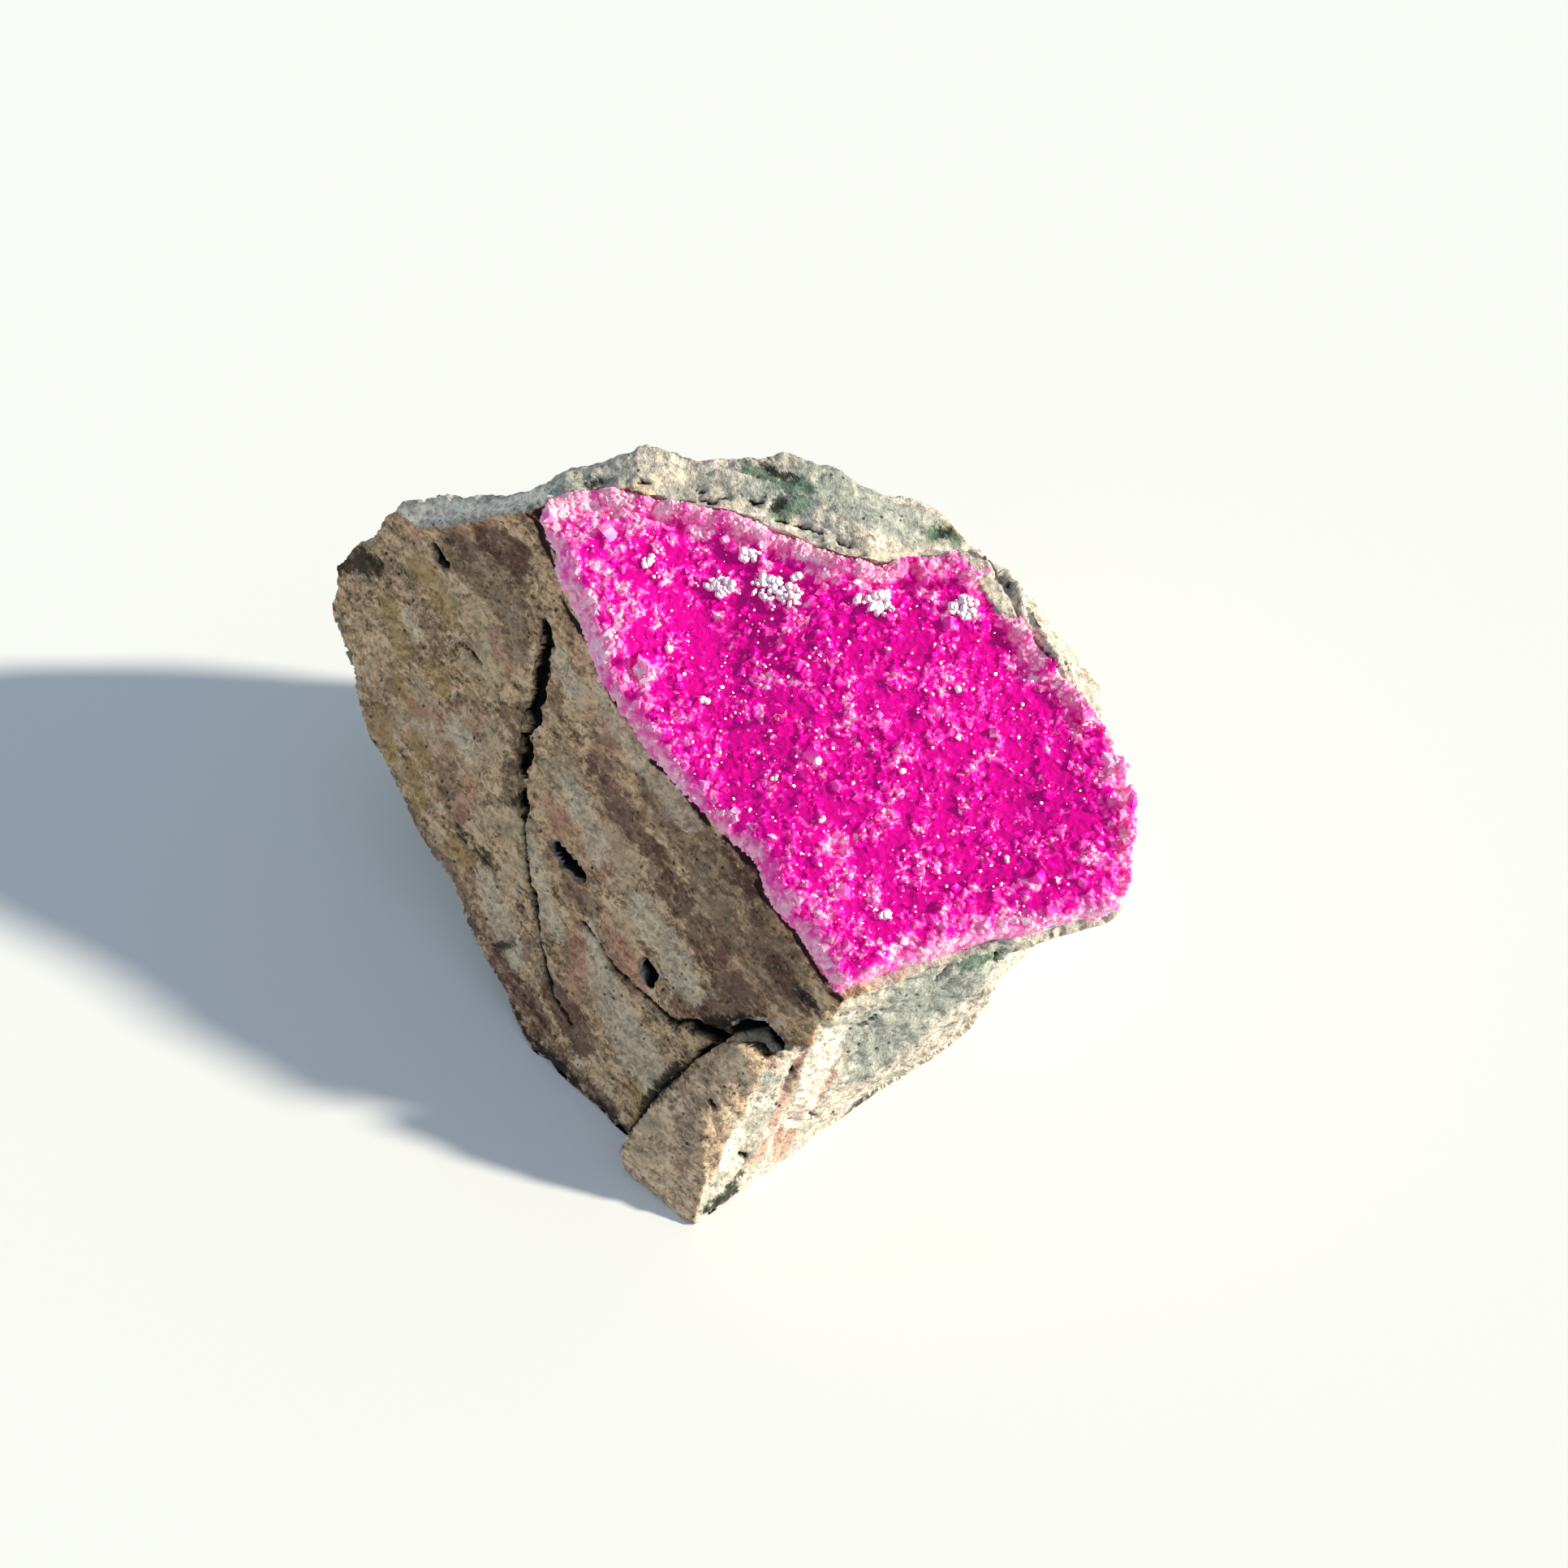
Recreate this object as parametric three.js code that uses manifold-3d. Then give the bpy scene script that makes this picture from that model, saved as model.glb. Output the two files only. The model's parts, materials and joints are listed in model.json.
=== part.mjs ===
// A hand specimen of cobaltoan calcite: a broken block of host rock with a druse of pink calcite crystals
// over its tilted upper face. Millimetres, +Z up. The origin is the middle of the resting face, and +Y points
// to the back, away from the side that the druse faces.
//
//   host_rock      one broken block with a raised ledge behind the druse, a wedge of rock at its front foot,
//                  an open crack down its left face and a flat underside to rest on
//   calcite_crust  the druse: a thin bed that lies in its seat in the rock, with crystals grown from it

import * as THREE from "three";
import { ConvexGeometry } from "three/addons/geometries/ConvexGeometry.js";
import { ImprovedNoise } from "three/addons/math/ImprovedNoise.js";
import { mergeVertices } from "three/addons/utils/BufferGeometryUtils.js";
import Module from "manifold-3d";

const wasm = await Module();
wasm.setup();
const { Manifold, Mesh: ManifoldMesh } = wasm;

// ---------------------------------------------------------------- driving dimensions

const DRUSE_TILT_DEG = 21.8; // the druse faces forward and up
const DRUSE_MIDDLE = [8.1, -1.9, 21.6]; // on the druse's mean plane
const CRUST_THICKNESS = 1.3; // the crust's bed at its broken edges
const SEAT_GAP = 0.3; // clearance between the crust and the rock
const BED_PITCH = 2.1; // grid of the crust's underside
const ROCK_CELL = 1.8; // grid that the rock's skin is meshed on
const CHIP_SIZE = 4.4; // width of the scallops broken into the rock
const CHIP_DEPTH = 0.5;
const SWELLS = [
  [0.3, 8.5],
  [0.2, 3.1],
]; // the gentle unevenness of the rock and of its bed: height, width
const FOOT_SPARE = 1.5; // how far below its resting face the block is meshed
const SHORTEST_EDGE = 0.02; // a shorter one is closed up
const CRYSTAL_PITCH = 1.4; // spacing of the small crystals over the druse
const CRYSTAL_HEIGHT = 0.85; // from their tips to the valleys between them
const CRYSTAL_SCATTER = 0.45; // how far a crystal's corners stray along the druse
const CRYSTAL_UNEVENNESS = 0.6; // and how far up and down
const LARGE_CRYSTAL_EDGE = 1.7;
const LARGE_CRYSTAL_LEAN = 1.1; // radians, between its furthest leans to the two sides

// ---------------------------------------------------------------- the block's corners

const MAIN_BLOCK = {
  druseFront: [9.2, -15, 16.7],
  druseRight: [24.7, -9.7, 18.8],
  plateTip: [24.9, -9.9, 15.5],
  druseRightMid: [25.2, -4.8, 19.8],
  druseRightBack: [24.3, -0.6, 20.9],
  druseRimRight: [19.8, 4.8, 24.6],
  druseRimBack: [16.4, 9.8, 26.5],
  druseLeftBack: [-10.8, 13.5, 26.2],
  rimRight: [23.9, 3.4, 21.8],
  rimRightMid: [20.4, 9, 22.8],
  rimRightBack: [17.9, 11.4, 23.8],
  crestMidLeft: [-12.7, 17, 24.9],
  crestLeft: [-16.1, 18.3, 22.8],
  faceTopMid: [-13.7, 15.4, 25],
  faceTopLeft: [-16.5, 16.4, 23.2],
  shoulderTop: [-20.3, 18.9, 21.7],
  shoulder: [-22.4, 18.2, 18.7],
  leftTip: [-25.5, 18.8, 16],
  leftTipLow: [-25.5, 16.4, 13.2],
  leftEdgeHigh: [-22.9, 10.2, 9.3],
  leftEdgeLow: [-16.6, 0.5, 5.5],
  leftFootBack: [-13.1, -7, 1],
  leftFootMid: [-11.8, -8.8, 0],
  leftFootFront: [-5.2, -15.8, 0],
  frontFoot: [1.2, -18.2, 0],
  frontFootRight: [7.5, -14.8, 0],
  rightFootFront: [15.4, -7, 0],
  rightFoot: [19.2, -2.2, 0],
  rightFootBack: [19, 6, 0],
  backFootRight: [13, 15, 0],
  backFoot: [1, 20, 0],
  backFootLeft: [-11, 19.5, 0],
  leftFootFar: [-16.5, 10, 0],
  backRight: [21, 11, 13],
  backMidRight: [12, 18.5, 17],
  backMid: [0, 21.5, 18],
  backMidLeft: [-13, 22.5, 15],
  backLeft: [-22, 21.5, 11],
};

const LEDGE = {
  lipLeft: [-9.8, 13.1, 27.3],
  lipMidLeft: [-6.2, 12.6, 27.7],
  lipMid: [1.4, 10.8, 27.3],
  lipFront: [7.4, 8.2, 26.7],
  lipCorner: [10.6, 7.3, 26.4],
  crestFarLeft: [-14.8, 17.2, 24.1],
  crestStart: [-10.8, 14.9, 27.2],
  crestLeft: [-8.3, 14.9, 28.1],
  crestPeak: [-3.2, 16.2, 29.5],
  crestRight: [5.8, 15.2, 29.5],
  crestStep: [8.5, 14, 28.7],
  crestSlope: [13.2, 13.8, 26.9],
  crestEnd: [15.7, 12, 26],
  crestFoot: [17.2, 11.6, 24.3],
  rootLeft: [-14, 19, 17],
  rootRight: [15, 16, 15],
  rootFront: [6, 4, 20],
};

const CORNER_WEDGE = {
  foot: [-1.1, -22.2, 0],
  footLeft: [-5.6, -18, 0],
  footRight: [6.4, -15.8, 0],
  sideLow: [-5.8, -17.6, 2.5],
  sideHigh: [-4.6, -16.7, 5],
  ridgeLow: [-0.6, -20.5, 3.1],
  ridgeHigh: [-0.1, -18.8, 7],
  peak: [1.3, -15.9, 10.6],
  peakRight: [4.4, -16.6, 11],
  root: [3, -13, 8],
  rootLow: [0, -14, 0],
};

// Broken away below the druse's right end, where a thin plate of rock is left under the crust.
const UNDERCUT = {
  plateFront: [18, -12.8, 13.4],
  plateInner: [18.3, -10.6, 14.3],
  plateBack: [22.8, -3.4, 17.6],
  wallHigh: [17.9, -9.6, 10.2],
  wallLow: [16.7, -8.9, 5.8],
  wallBack: [19.8, -3.2, 4],
  foot: [16.6, -8.4, -2],
  outerFrontHigh: [32, -20, 11.8],
  outerBackHigh: [32, -2, 19],
  outerFrontLow: [32, -20, -2],
  outerBackLow: [28, -2, -2],
};

// ---------------------------------------------------------------- the druse, across and up its plane

// Where the druse meets the ledge and the right rim: across, up, and where it leans, how far it leans each way
// for every millimetre that it rises.
const RIM_BORDER = [
  [-18.7, 15.6, 0.6, 0.1],
  [-16.9, 16.3, 0.3, 0],
  [-14.6, 16.5],
  [-11.9, 15.8],
  [-6.8, 14.6],
  [-2.6, 12.8],
  [0.2, 11.5],
  [2.5, 11.1],
  [3.7, 11.8],
  [7.9, 12.3],
  [8.9, 11.8],
  [9.8, 9.6],
  [11.1, 6.7],
  [12.9, 4.3],
  [16.1, 0.8],
];

// The druse's broken edges, on round the front, in the same way.
const BROKEN_BORDER = [
  [16.7, -1.4, 0.1, 0],
  [17.2, -4, 0.2, 0],
  [16.8, -6.2, 0.2, 0],
  [16.3, -9.6, 0.1, 0.1],
  [13.9, -10.5, 0, 0.3],
  [8.6, -11.7, 0, 0.4],
  [3.3, -13.4, 0, 0.4],
  [1.2, -14.3, 0.2, 0.4],
  [-0.5, -15.2, 0.7, 0.4],
  [-2.6, -11.9, 0.7, 0.4],
  [-4.8, -9.1, 0.7, 0.4],
  [-5.2, -7.3, 0.7, 0.4],
  [-8.2, -4, 0.7, 0.4],
  [-11.9, 0.1, 0.7, 0.4],
  [-14.9, 4.8, 0.7, 0.4],
  [-16.1, 8.3, 0.7, 0.4],
  [-17.8, 11.8, 0.7, 0.4],
  [-18.4, 13.9, 0.5, 0.2],
];

// The seat's cut runs out past the broken edges, round the front and anticlockwise: across, up.
const SEAT_RUNOUT = [
  [-27, 13.6],
  [-27, -6],
  [-10, -25],
  [27, -25],
  [27, -1],
];

// Wide hollows, which the rock's seat follows: across, up, radius, depth.
const HOLLOWS = [
  [-7.6, 7.4, 3.4, 2],
  [-6, -0.6, 2.6, 0.9],
  [9.7, -3.6, 3, 0.8],
  [11.5, 2.5, 3.2, 0.7],
  [3.4, -7.8, 3, 0.5],
];

// Lumps and pockets of the crust itself: across, up, radius, height.
const LUMPS = [
  [-14.8, 7.3, 1.6, 0.7],
  [-15.6, 11, 1.8, 0.5],
  [-11.2, 2.2, 1.5, 0.5],
  [-4.2, 2.8, 1.2, 0.8],
  [-1.3, 4.4, 1.4, 0.7],
  [-0.4, 10.2, 2, 0.6],
  [1.6, 1.6, 1.3, 0.7],
  [5.8, 1.8, 1.3, 0.8],
  [6.4, 6, 1.3, 0.7],
  [9.4, 0.2, 1.2, 0.6],
  [2.8, -4, 1.5, 0.7],
  [5.4, -6.6, 1.2, 0.7],
  [12.8, -6.4, 1.6, 0.6],
  [-3.2, -6.2, 1.6, 0.6],
  [0.4, -9.8, 1.5, 0.5],
  [7.6, 10.6, 1.7, 0.6],
  [-3, 0.6, 0.9, -0.7],
  [3.6, 1.2, 0.9, -0.7],
  [8.4, 6.4, 1.2, -0.8],
  [6.2, -3.3, 0.9, -0.7],
  [4.1, -9.4, 1, -0.6],
  [0.4, 7.8, 0.9, -0.6],
  [-13.4, 12.6, 1.1, -0.6],
  [-10, 12.8, 1.2, -0.6],
];

// Where a larger crystal stands out of the carpet: across, up.
const LARGE_CRYSTALS = [
  [-14, 7.6],
  [-15.7, 12.2],
  [-12, 12.1],
  [-11.7, 5.6],
  [-8.6, 3],
  [-9.8, -0.6],
  [-4.2, 2.6],
  [-5.6, 12.4],
  [-3.4, 10.3],
  [1.8, 9.2],
  [7.4, 9.4],
  [6.4, 5.4],
  [-1.2, 4.6],
  [1.8, 0.9],
  [3.1, -3.6],
  [-2.4, -7.4],
  [7.2, -1.4],
  [11, -3.2],
  [5, -7.7],
  [13.6, -5.6],
  [10.3, -8.4],
];

// ---------------------------------------------------------------- clefts in the left face

// On the left face, across to the front and up its slope from its front foot, with the width at each point.
const CLEFTS = {
  mainCrack: [
    [-21.2, 25.5, 0.3],
    [-20.3, 24, 0.8],
    [-19.9, 22.5, 1],
    [-19.4, 20.9, 0.8],
    [-19.1, 19.6, 1.1],
    [-19.2, 18.2, 0.5],
    [-18.5, 17.1, 0.9],
    [-18.3, 15.9, 0.6],
    [-17.6, 15.1, 0.5],
    [-17.2, 14.1, 0.9],
    [-16.6, 13.4, 0.3],
  ],
  slantedPit: [
    [-14.1, 13.3, 0.4],
    [-12.6, 12.9, 0.8],
    [-11, 12.6, 0.4],
  ],
  ovalHole: [
    [-4.4, 10.9, 0.5],
    [-3.6, 10.3, 1.3],
    [-3.2, 9.7, 0.6],
  ],
  shoulderPit: [
    [-31.2, 24.9, 0.4],
    [-30.4, 24.5, 0.8],
    [-29.6, 24.2, 0.4],
  ],
  wedgeCrack: [
    [-0.4, 8.8, 0.3],
    [1, 9.5, 0.6],
    [2.8, 10.3, 0.8],
    [3.9, 11.3, 0.9],
  ],
  wedgeCavity: [
    [3.5, 11.3, 0.8],
    [5.2, 12, 1.8],
    [6.8, 11.8, 1.2],
  ],
};
const CLEFT_DEPTH = 2.2; // at a cleft's deepest
const CLEFT_STRAIGHT = 0.3; // the part of its depth where its walls are parallel
const CLEFT_CLEAR = 1.2; // how far the cutting body stands out of the face

// ---------------------------------------------------------------- small tools

// A repeatable random sequence from 0 to 1.
function randomSequence(seed) {
  let state = seed;
  return () => {
    state = (state + 0x6d2b79f5) | 0;
    let t = Math.imul(state ^ (state >>> 15), 1 | state);
    t = (t + Math.imul(t ^ (t >>> 7), 61 | t)) ^ t;
    return ((t ^ (t >>> 14)) >>> 0) / 4294967296;
  };
}

// The same number from 0 to 1 for the same three whole numbers.
function cellRandom(x, y, z, salt) {
  const h = Math.sin(x * 127.1 + y * 311.7 + z * 74.7 + salt * 53.3) * 43758.5453;
  return h - Math.floor(h);
}

const perlin = new ImprovedNoise();
const noiseAt = (x, y, z, wavelength) => perlin.noise(x / wavelength, y / wavelength, z / wavelength);

// A closed geometry as a solid for joining and cutting.
function solidFrom(geometry) {
  const bare = geometry.clone();
  bare.deleteAttribute("normal");
  bare.deleteAttribute("uv");
  const merged = mergeVertices(bare, 1e-4);
  return new Manifold(
    new ManifoldMesh({
      numProp: 3,
      vertProperties: new Float32Array(merged.attributes.position.array),
      triVerts: new Uint32Array(merged.index.array),
    }),
  );
}

// A solid's surface as a geometry.
function geometryFrom(solid) {
  const { vertProperties, triVerts, numProp, numVert } = solid.getMesh();
  const position = new Float32Array(numVert * 3);
  for (let i = 0; i < numVert; i++) {
    position.set(vertProperties.subarray(i * numProp, i * numProp + 3), i * 3);
  }
  return indexedGeometry(position, Array.from(triVerts));
}

// The same surface with its shortest edges closed up, which drops the slivers that cutting leaves.
function withoutSlivers(geometry) {
  const { position } = geometry.attributes;
  const at = (n) => new THREE.Vector3().fromBufferAttribute(position, n);
  const faces = [];
  const index = Array.from(geometry.index.array);
  for (let i = 0; i < index.length; i += 3) faces.push(index.slice(i, i + 3));
  const facesAt = new Map();
  const note = (n, face) => facesAt.set(n, (facesAt.get(n) ?? new Set()).add(face));
  faces.forEach((face) => face.forEach((n) => note(n, face)));
  const around = (n) => new Set([...facesAt.get(n)].flat());
  for (const face of faces) {
    for (let k = 0; k < 3; k++) {
      const [kept, lost] = [face[k], face[(k + 1) % 3]];
      if (!facesAt.get(kept)?.has(face) || at(kept).distanceTo(at(lost)) > SHORTEST_EDGE) continue;
      const nearLost = around(lost);
      if ([...around(kept)].filter((n) => nearLost.has(n)).length !== 4) continue;
      for (const moved of facesAt.get(lost)) {
        if (moved.includes(kept)) {
          moved.forEach((n) => n !== lost && facesAt.get(n).delete(moved));
        } else {
          moved[moved.indexOf(lost)] = kept;
          note(kept, moved);
        }
      }
      facesAt.delete(lost);
      break;
    }
  }
  const left = faces.filter((face) => facesAt.get(face[0])?.has(face));
  return indexedGeometry(position.array, left.flat());
}

const indexedGeometry = (coordinates, triangles) =>
  new THREE.BufferGeometry()
    .setAttribute("position", new THREE.BufferAttribute(new Float32Array(coordinates), 3))
    .setIndex(triangles);

// ---------------------------------------------------------------- meshing a field

const CELL_STRAY = 0.3; // how far past its cell a vertex may lie, in cells
const MIDDLE_HOLD = 0.06; // how firmly a vertex is held to the middle of its crossings

// The surface where a field of signed distance is zero, as one closed geometry. Each cell of the grid that the
// surface passes through gets one vertex, put where the faces that cross the cell meet, so edges stay sharp.
function surfaceOf(field, low, high, cell) {
  const count = [0, 1, 2].map((k) => Math.ceil((high[k] - low[k]) / cell) + 1);
  const nodeIndex = (i, j, k) => (k * count[1] + j) * count[0] + i;
  const rowOf = (n) => Math.floor(n / count[0]);
  const nodeAt = (n) => [n % count[0], rowOf(n) % count[1], Math.floor(rowOf(n) / count[1])];
  const nodePoint = (ijk) => ijk.map((value, k) => low[k] + value * cell);
  const values = new Float64Array(count[0] * count[1] * count[2]);
  for (let k = 0; k < count[2]; k++) {
    for (let j = 0; j < count[1]; j++) {
      for (let i = 0; i < count[0]; i++) {
        values[nodeIndex(i, j, k)] = field(...nodePoint([i, j, k]));
      }
    }
  }
  const slopeAt = (p) => {
    const h = cell * 0.02;
    const slope = new THREE.Vector3(
      field(p[0] + h, p[1], p[2]) - field(p[0] - h, p[1], p[2]),
      field(p[0], p[1] + h, p[2]) - field(p[0], p[1] - h, p[2]),
      field(p[0], p[1], p[2] + h) - field(p[0], p[1], p[2] - h),
    );
    return slope.normalize();
  };
  const crossings = new Map(); // cell -> the points and normals on its edges
  const quads = [];
  for (let k = 1; k < count[2] - 1; k++) {
    for (let j = 1; j < count[1] - 1; j++) {
      for (let i = 1; i < count[0] - 1; i++) {
        for (let axis = 0; axis < 3; axis++) {
          const start = [i, j, k];
          const end = start.map((value, n) => value + (n === axis ? 1 : 0));
          const before = values[nodeIndex(...start)];
          const after = values[nodeIndex(...end)];
          if (before < 0 === after < 0) continue;
          const point = nodePoint(start);
          let [near, far] = [0, 1];
          for (let step = 0; step < 12; step++) {
            const middle = (near + far) / 2;
            point[axis] = low[axis] + (start[axis] + middle) * cell;
            if (field(...point) < 0 === before < 0) near = middle;
            else far = middle;
          }
          const crossing = { point: new THREE.Vector3(...point), normal: slopeAt(point) };
          const [b, c] = [(axis + 1) % 3, (axis + 2) % 3];
          const ring = [[0, 0], [-1, 0], [-1, -1], [0, -1]].map(([stepB, stepC]) => {
            const cellAt = [...start];
            cellAt[b] += stepB;
            cellAt[c] += stepC;
            return nodeIndex(...cellAt);
          });
          ring.forEach((key) => crossings.set(key, [...(crossings.get(key) ?? []), crossing]));
          quads.push(before < 0 ? ring : ring.reverse());
        }
      }
    }
  }
  const coordinates = [];
  const vertexOf = new Map();
  for (const [key, found] of crossings) {
    vertexOf.set(key, coordinates.length / 3);
    const cellLow = new THREE.Vector3(...nodePoint(nodeAt(key)));
    const least = cellLow.clone().addScalar(-CELL_STRAY * cell);
    const most = cellLow.clone().addScalar((1 + CELL_STRAY) * cell);
    coordinates.push(...meetingPoint(found).clamp(least, most).toArray());
  }
  const at = (n) => new THREE.Vector3().fromArray(coordinates, 3 * n);
  const triangles = quads.flatMap((ring) => {
    const [a, b, c, d] = ring.map((key) => vertexOf.get(key));
    return at(a).distanceTo(at(c)) < at(b).distanceTo(at(d)) ? [a, b, c, a, c, d] : [b, c, d, b, d, a];
  });
  return indexedGeometry(coordinates, triangles);
}

// The point nearest to all the planes given, held lightly to the middle of their points.
function meetingPoint(found) {
  const middle = new THREE.Vector3();
  found.forEach(({ point }) => middle.addScaledVector(point, 1 / found.length));
  const m = [MIDDLE_HOLD, 0, 0, 0, MIDDLE_HOLD, 0, 0, 0, MIDDLE_HOLD];
  const right = new THREE.Vector3();
  for (const { point, normal } of found) {
    const n = normal.toArray();
    for (let r = 0; r < 3; r++) {
      for (let c = 0; c < 3; c++) m[3 * r + c] += n[r] * n[c];
    }
    right.addScaledVector(normal, normal.dot(point.clone().sub(middle)));
  }
  const inverse = new THREE.Matrix3().set(...m).invert();
  return middle.add(right.applyMatrix3(inverse));
}

// The signed distance to a convex body, given by its corners. Its flat underside is left out, so that below it
// the body goes on down.
function convexField(corners) {
  const hull = new ConvexGeometry(Object.values(corners).map((corner) => new THREE.Vector3(...corner)));
  const { position, normal } = hull.attributes;
  const planes = [];
  for (let i = 0; i < position.count; i += 3) {
    const n = new THREE.Vector3().fromBufferAttribute(normal, i);
    if (n.z < -0.999) continue;
    planes.push([n.x, n.y, n.z, n.dot(new THREE.Vector3().fromBufferAttribute(position, i))]);
  }
  return (x, y, z) => {
    let distance = -Infinity;
    for (const [a, b, c, d] of planes) distance = Math.max(distance, a * x + b * y + c * z - d);
    return distance;
  };
}

// ---------------------------------------------------------------- host rock

// Scallops broken into the rock's skin, with sharp ridges between them, over a gentle swell.
function chipAt(x, y, z) {
  let lowest = Infinity;
  const [cx, cy, cz] = [x, y, z].map((value) => Math.floor(value / CHIP_SIZE));
  for (let i = cx - 1; i <= cx + 1; i++) {
    for (let j = cy - 1; j <= cy + 1; j++) {
      for (let k = cz - 1; k <= cz + 1; k++) {
        const dx = x / CHIP_SIZE - i - cellRandom(i, j, k, 1);
        const dy = y / CHIP_SIZE - j - cellRandom(i, j, k, 2);
        const dz = z / CHIP_SIZE - k - cellRandom(i, j, k, 3);
        lowest = Math.min(lowest, dx * dx + dy * dy + dz * dz + 0.4 * cellRandom(i, j, k, 4));
      }
    }
  }
  const swell = SWELLS.reduce((sum, [height, width]) => sum + height * noiseAt(x, y, z, width), 0);
  return CHIP_DEPTH * (0.5 - lowest) - swell;
}

const mainField = convexField(MAIN_BLOCK);
const ledgeField = convexField(LEDGE);
const wedgeField = convexField(CORNER_WEDGE);
const undercutField = convexField(UNDERCUT);

// The rock's signed distance. The chips fade out towards the foot.
function rockField(x, y, z) {
  const whole = Math.min(mainField(x, y, z), ledgeField(x, y, z), wedgeField(x, y, z));
  const block = Math.max(whole, -undercutField(x, y, z));
  const fade = Math.min(1, Math.max(0, z / FOOT_SPARE));
  return Math.max(block + fade * chipAt(x, y, z), -FOOT_SPARE - z);
}

// The block is meshed a little too deep, and cut off flat where it rests.
const [MESH_LOW, MESH_HIGH] = [
  [-28.9, -24.9, -3.9],
  [29, 27, 33],
];
const SAW_SLAB = 9;
const saw = new THREE.BoxGeometry(90, 90, SAW_SLAB).translate(0, 0, -SAW_SLAB / 2);
const blank = surfaceOf(rockField, MESH_LOW, MESH_HIGH, ROCK_CELL);
let rockSolid = solidFrom(blank).subtract(solidFrom(saw));

// ---------------------------------------------------------------- clefts in the rock

// The left face's frame: across it to the front, up its slope, and out of it.
function leftFaceFrame() {
  const [foot, front, back] = [MAIN_BLOCK.leftFootFront, MAIN_BLOCK.druseFront, MAIN_BLOCK.druseLeftBack].map(
    (corner) => new THREE.Vector3(...corner),
  );
  const out = front.sub(foot).cross(back.sub(foot)).normalize();
  const across = new THREE.Vector3(0, 0, 1).cross(out).normalize();
  const up = out.clone().cross(across);
  return new THREE.Matrix4().makeBasis(across, up, out).setPosition(foot);
}

// A cleft's five corners at one of its points: parallel sides down to a sharp bottom.
function cleftSection(stations, i) {
  const [across, up, width] = stations[i];
  const before = stations[Math.max(i - 1, 0)];
  const after = stations[Math.min(i + 1, stations.length - 1)];
  const side = new THREE.Vector2(before[1] - after[1], after[0] - before[0]).setLength(width / 2);
  const depth = CLEFT_DEPTH * Math.min(1, 0.3 + 0.7 * width);
  return [
    [across + side.x, up + side.y, CLEFT_CLEAR],
    [across + side.x, up + side.y, -CLEFT_STRAIGHT * depth],
    [across, up, -depth],
    [across - side.x, up - side.y, -CLEFT_STRAIGHT * depth],
    [across - side.x, up - side.y, CLEFT_CLEAR],
  ];
}

// One closed body through a row of sections with the same number of corners.
function bodyThrough(sections) {
  const n = sections[0].length;
  const last = (sections.length - 1) * n;
  const triangles = [];
  for (let k = 2; k < n; k++) triangles.push(0, k - 1, k, last, last + k, last + k - 1);
  for (let start = 0; start < last; start += n) {
    for (let k = 0; k < n; k++) {
      const [a, b] = [start + k, start + ((k + 1) % n)];
      triangles.push(a, b + n, b, a, a + n, b + n);
    }
  }
  return indexedGeometry(sections.flat(2), triangles);
}

const leftFace = leftFaceFrame();
for (const stations of Object.values(CLEFTS)) {
  const cleft = bodyThrough(stations.map((_, i) => cleftSection(stations, i)));
  rockSolid = rockSolid.subtract(solidFrom(cleft.applyMatrix4(leftFace)));
}

// ---------------------------------------------------------------- the druse's own frame

const tilt = THREE.MathUtils.degToRad(DRUSE_TILT_DEG);
const druseFrame = new THREE.Matrix4()
  .makeTranslation(...DRUSE_MIDDLE)
  .multiply(new THREE.Matrix4().makeRotationX(tilt));

const bump = ([across, up, radius, height], u, v) =>
  height * Math.exp(-((u - across) ** 2 + (v - up) ** 2) / radius ** 2);

const dishAt = (u, v) => -HOLLOWS.reduce((sum, hollow) => sum + bump(hollow, u, v), 0);
const lumpAt = (u, v) => LUMPS.reduce((sum, lump) => sum + bump(lump, u, v), 0);
const bedTopAt = (u, v) => dishAt(u, v) + lumpAt(u, v) + 0.45 * noiseAt(u, v, 7, 2.7);
const bedUnderAt = (u, v) => 0.85 * dishAt(u, v) - CRUST_THICKNESS;

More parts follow.
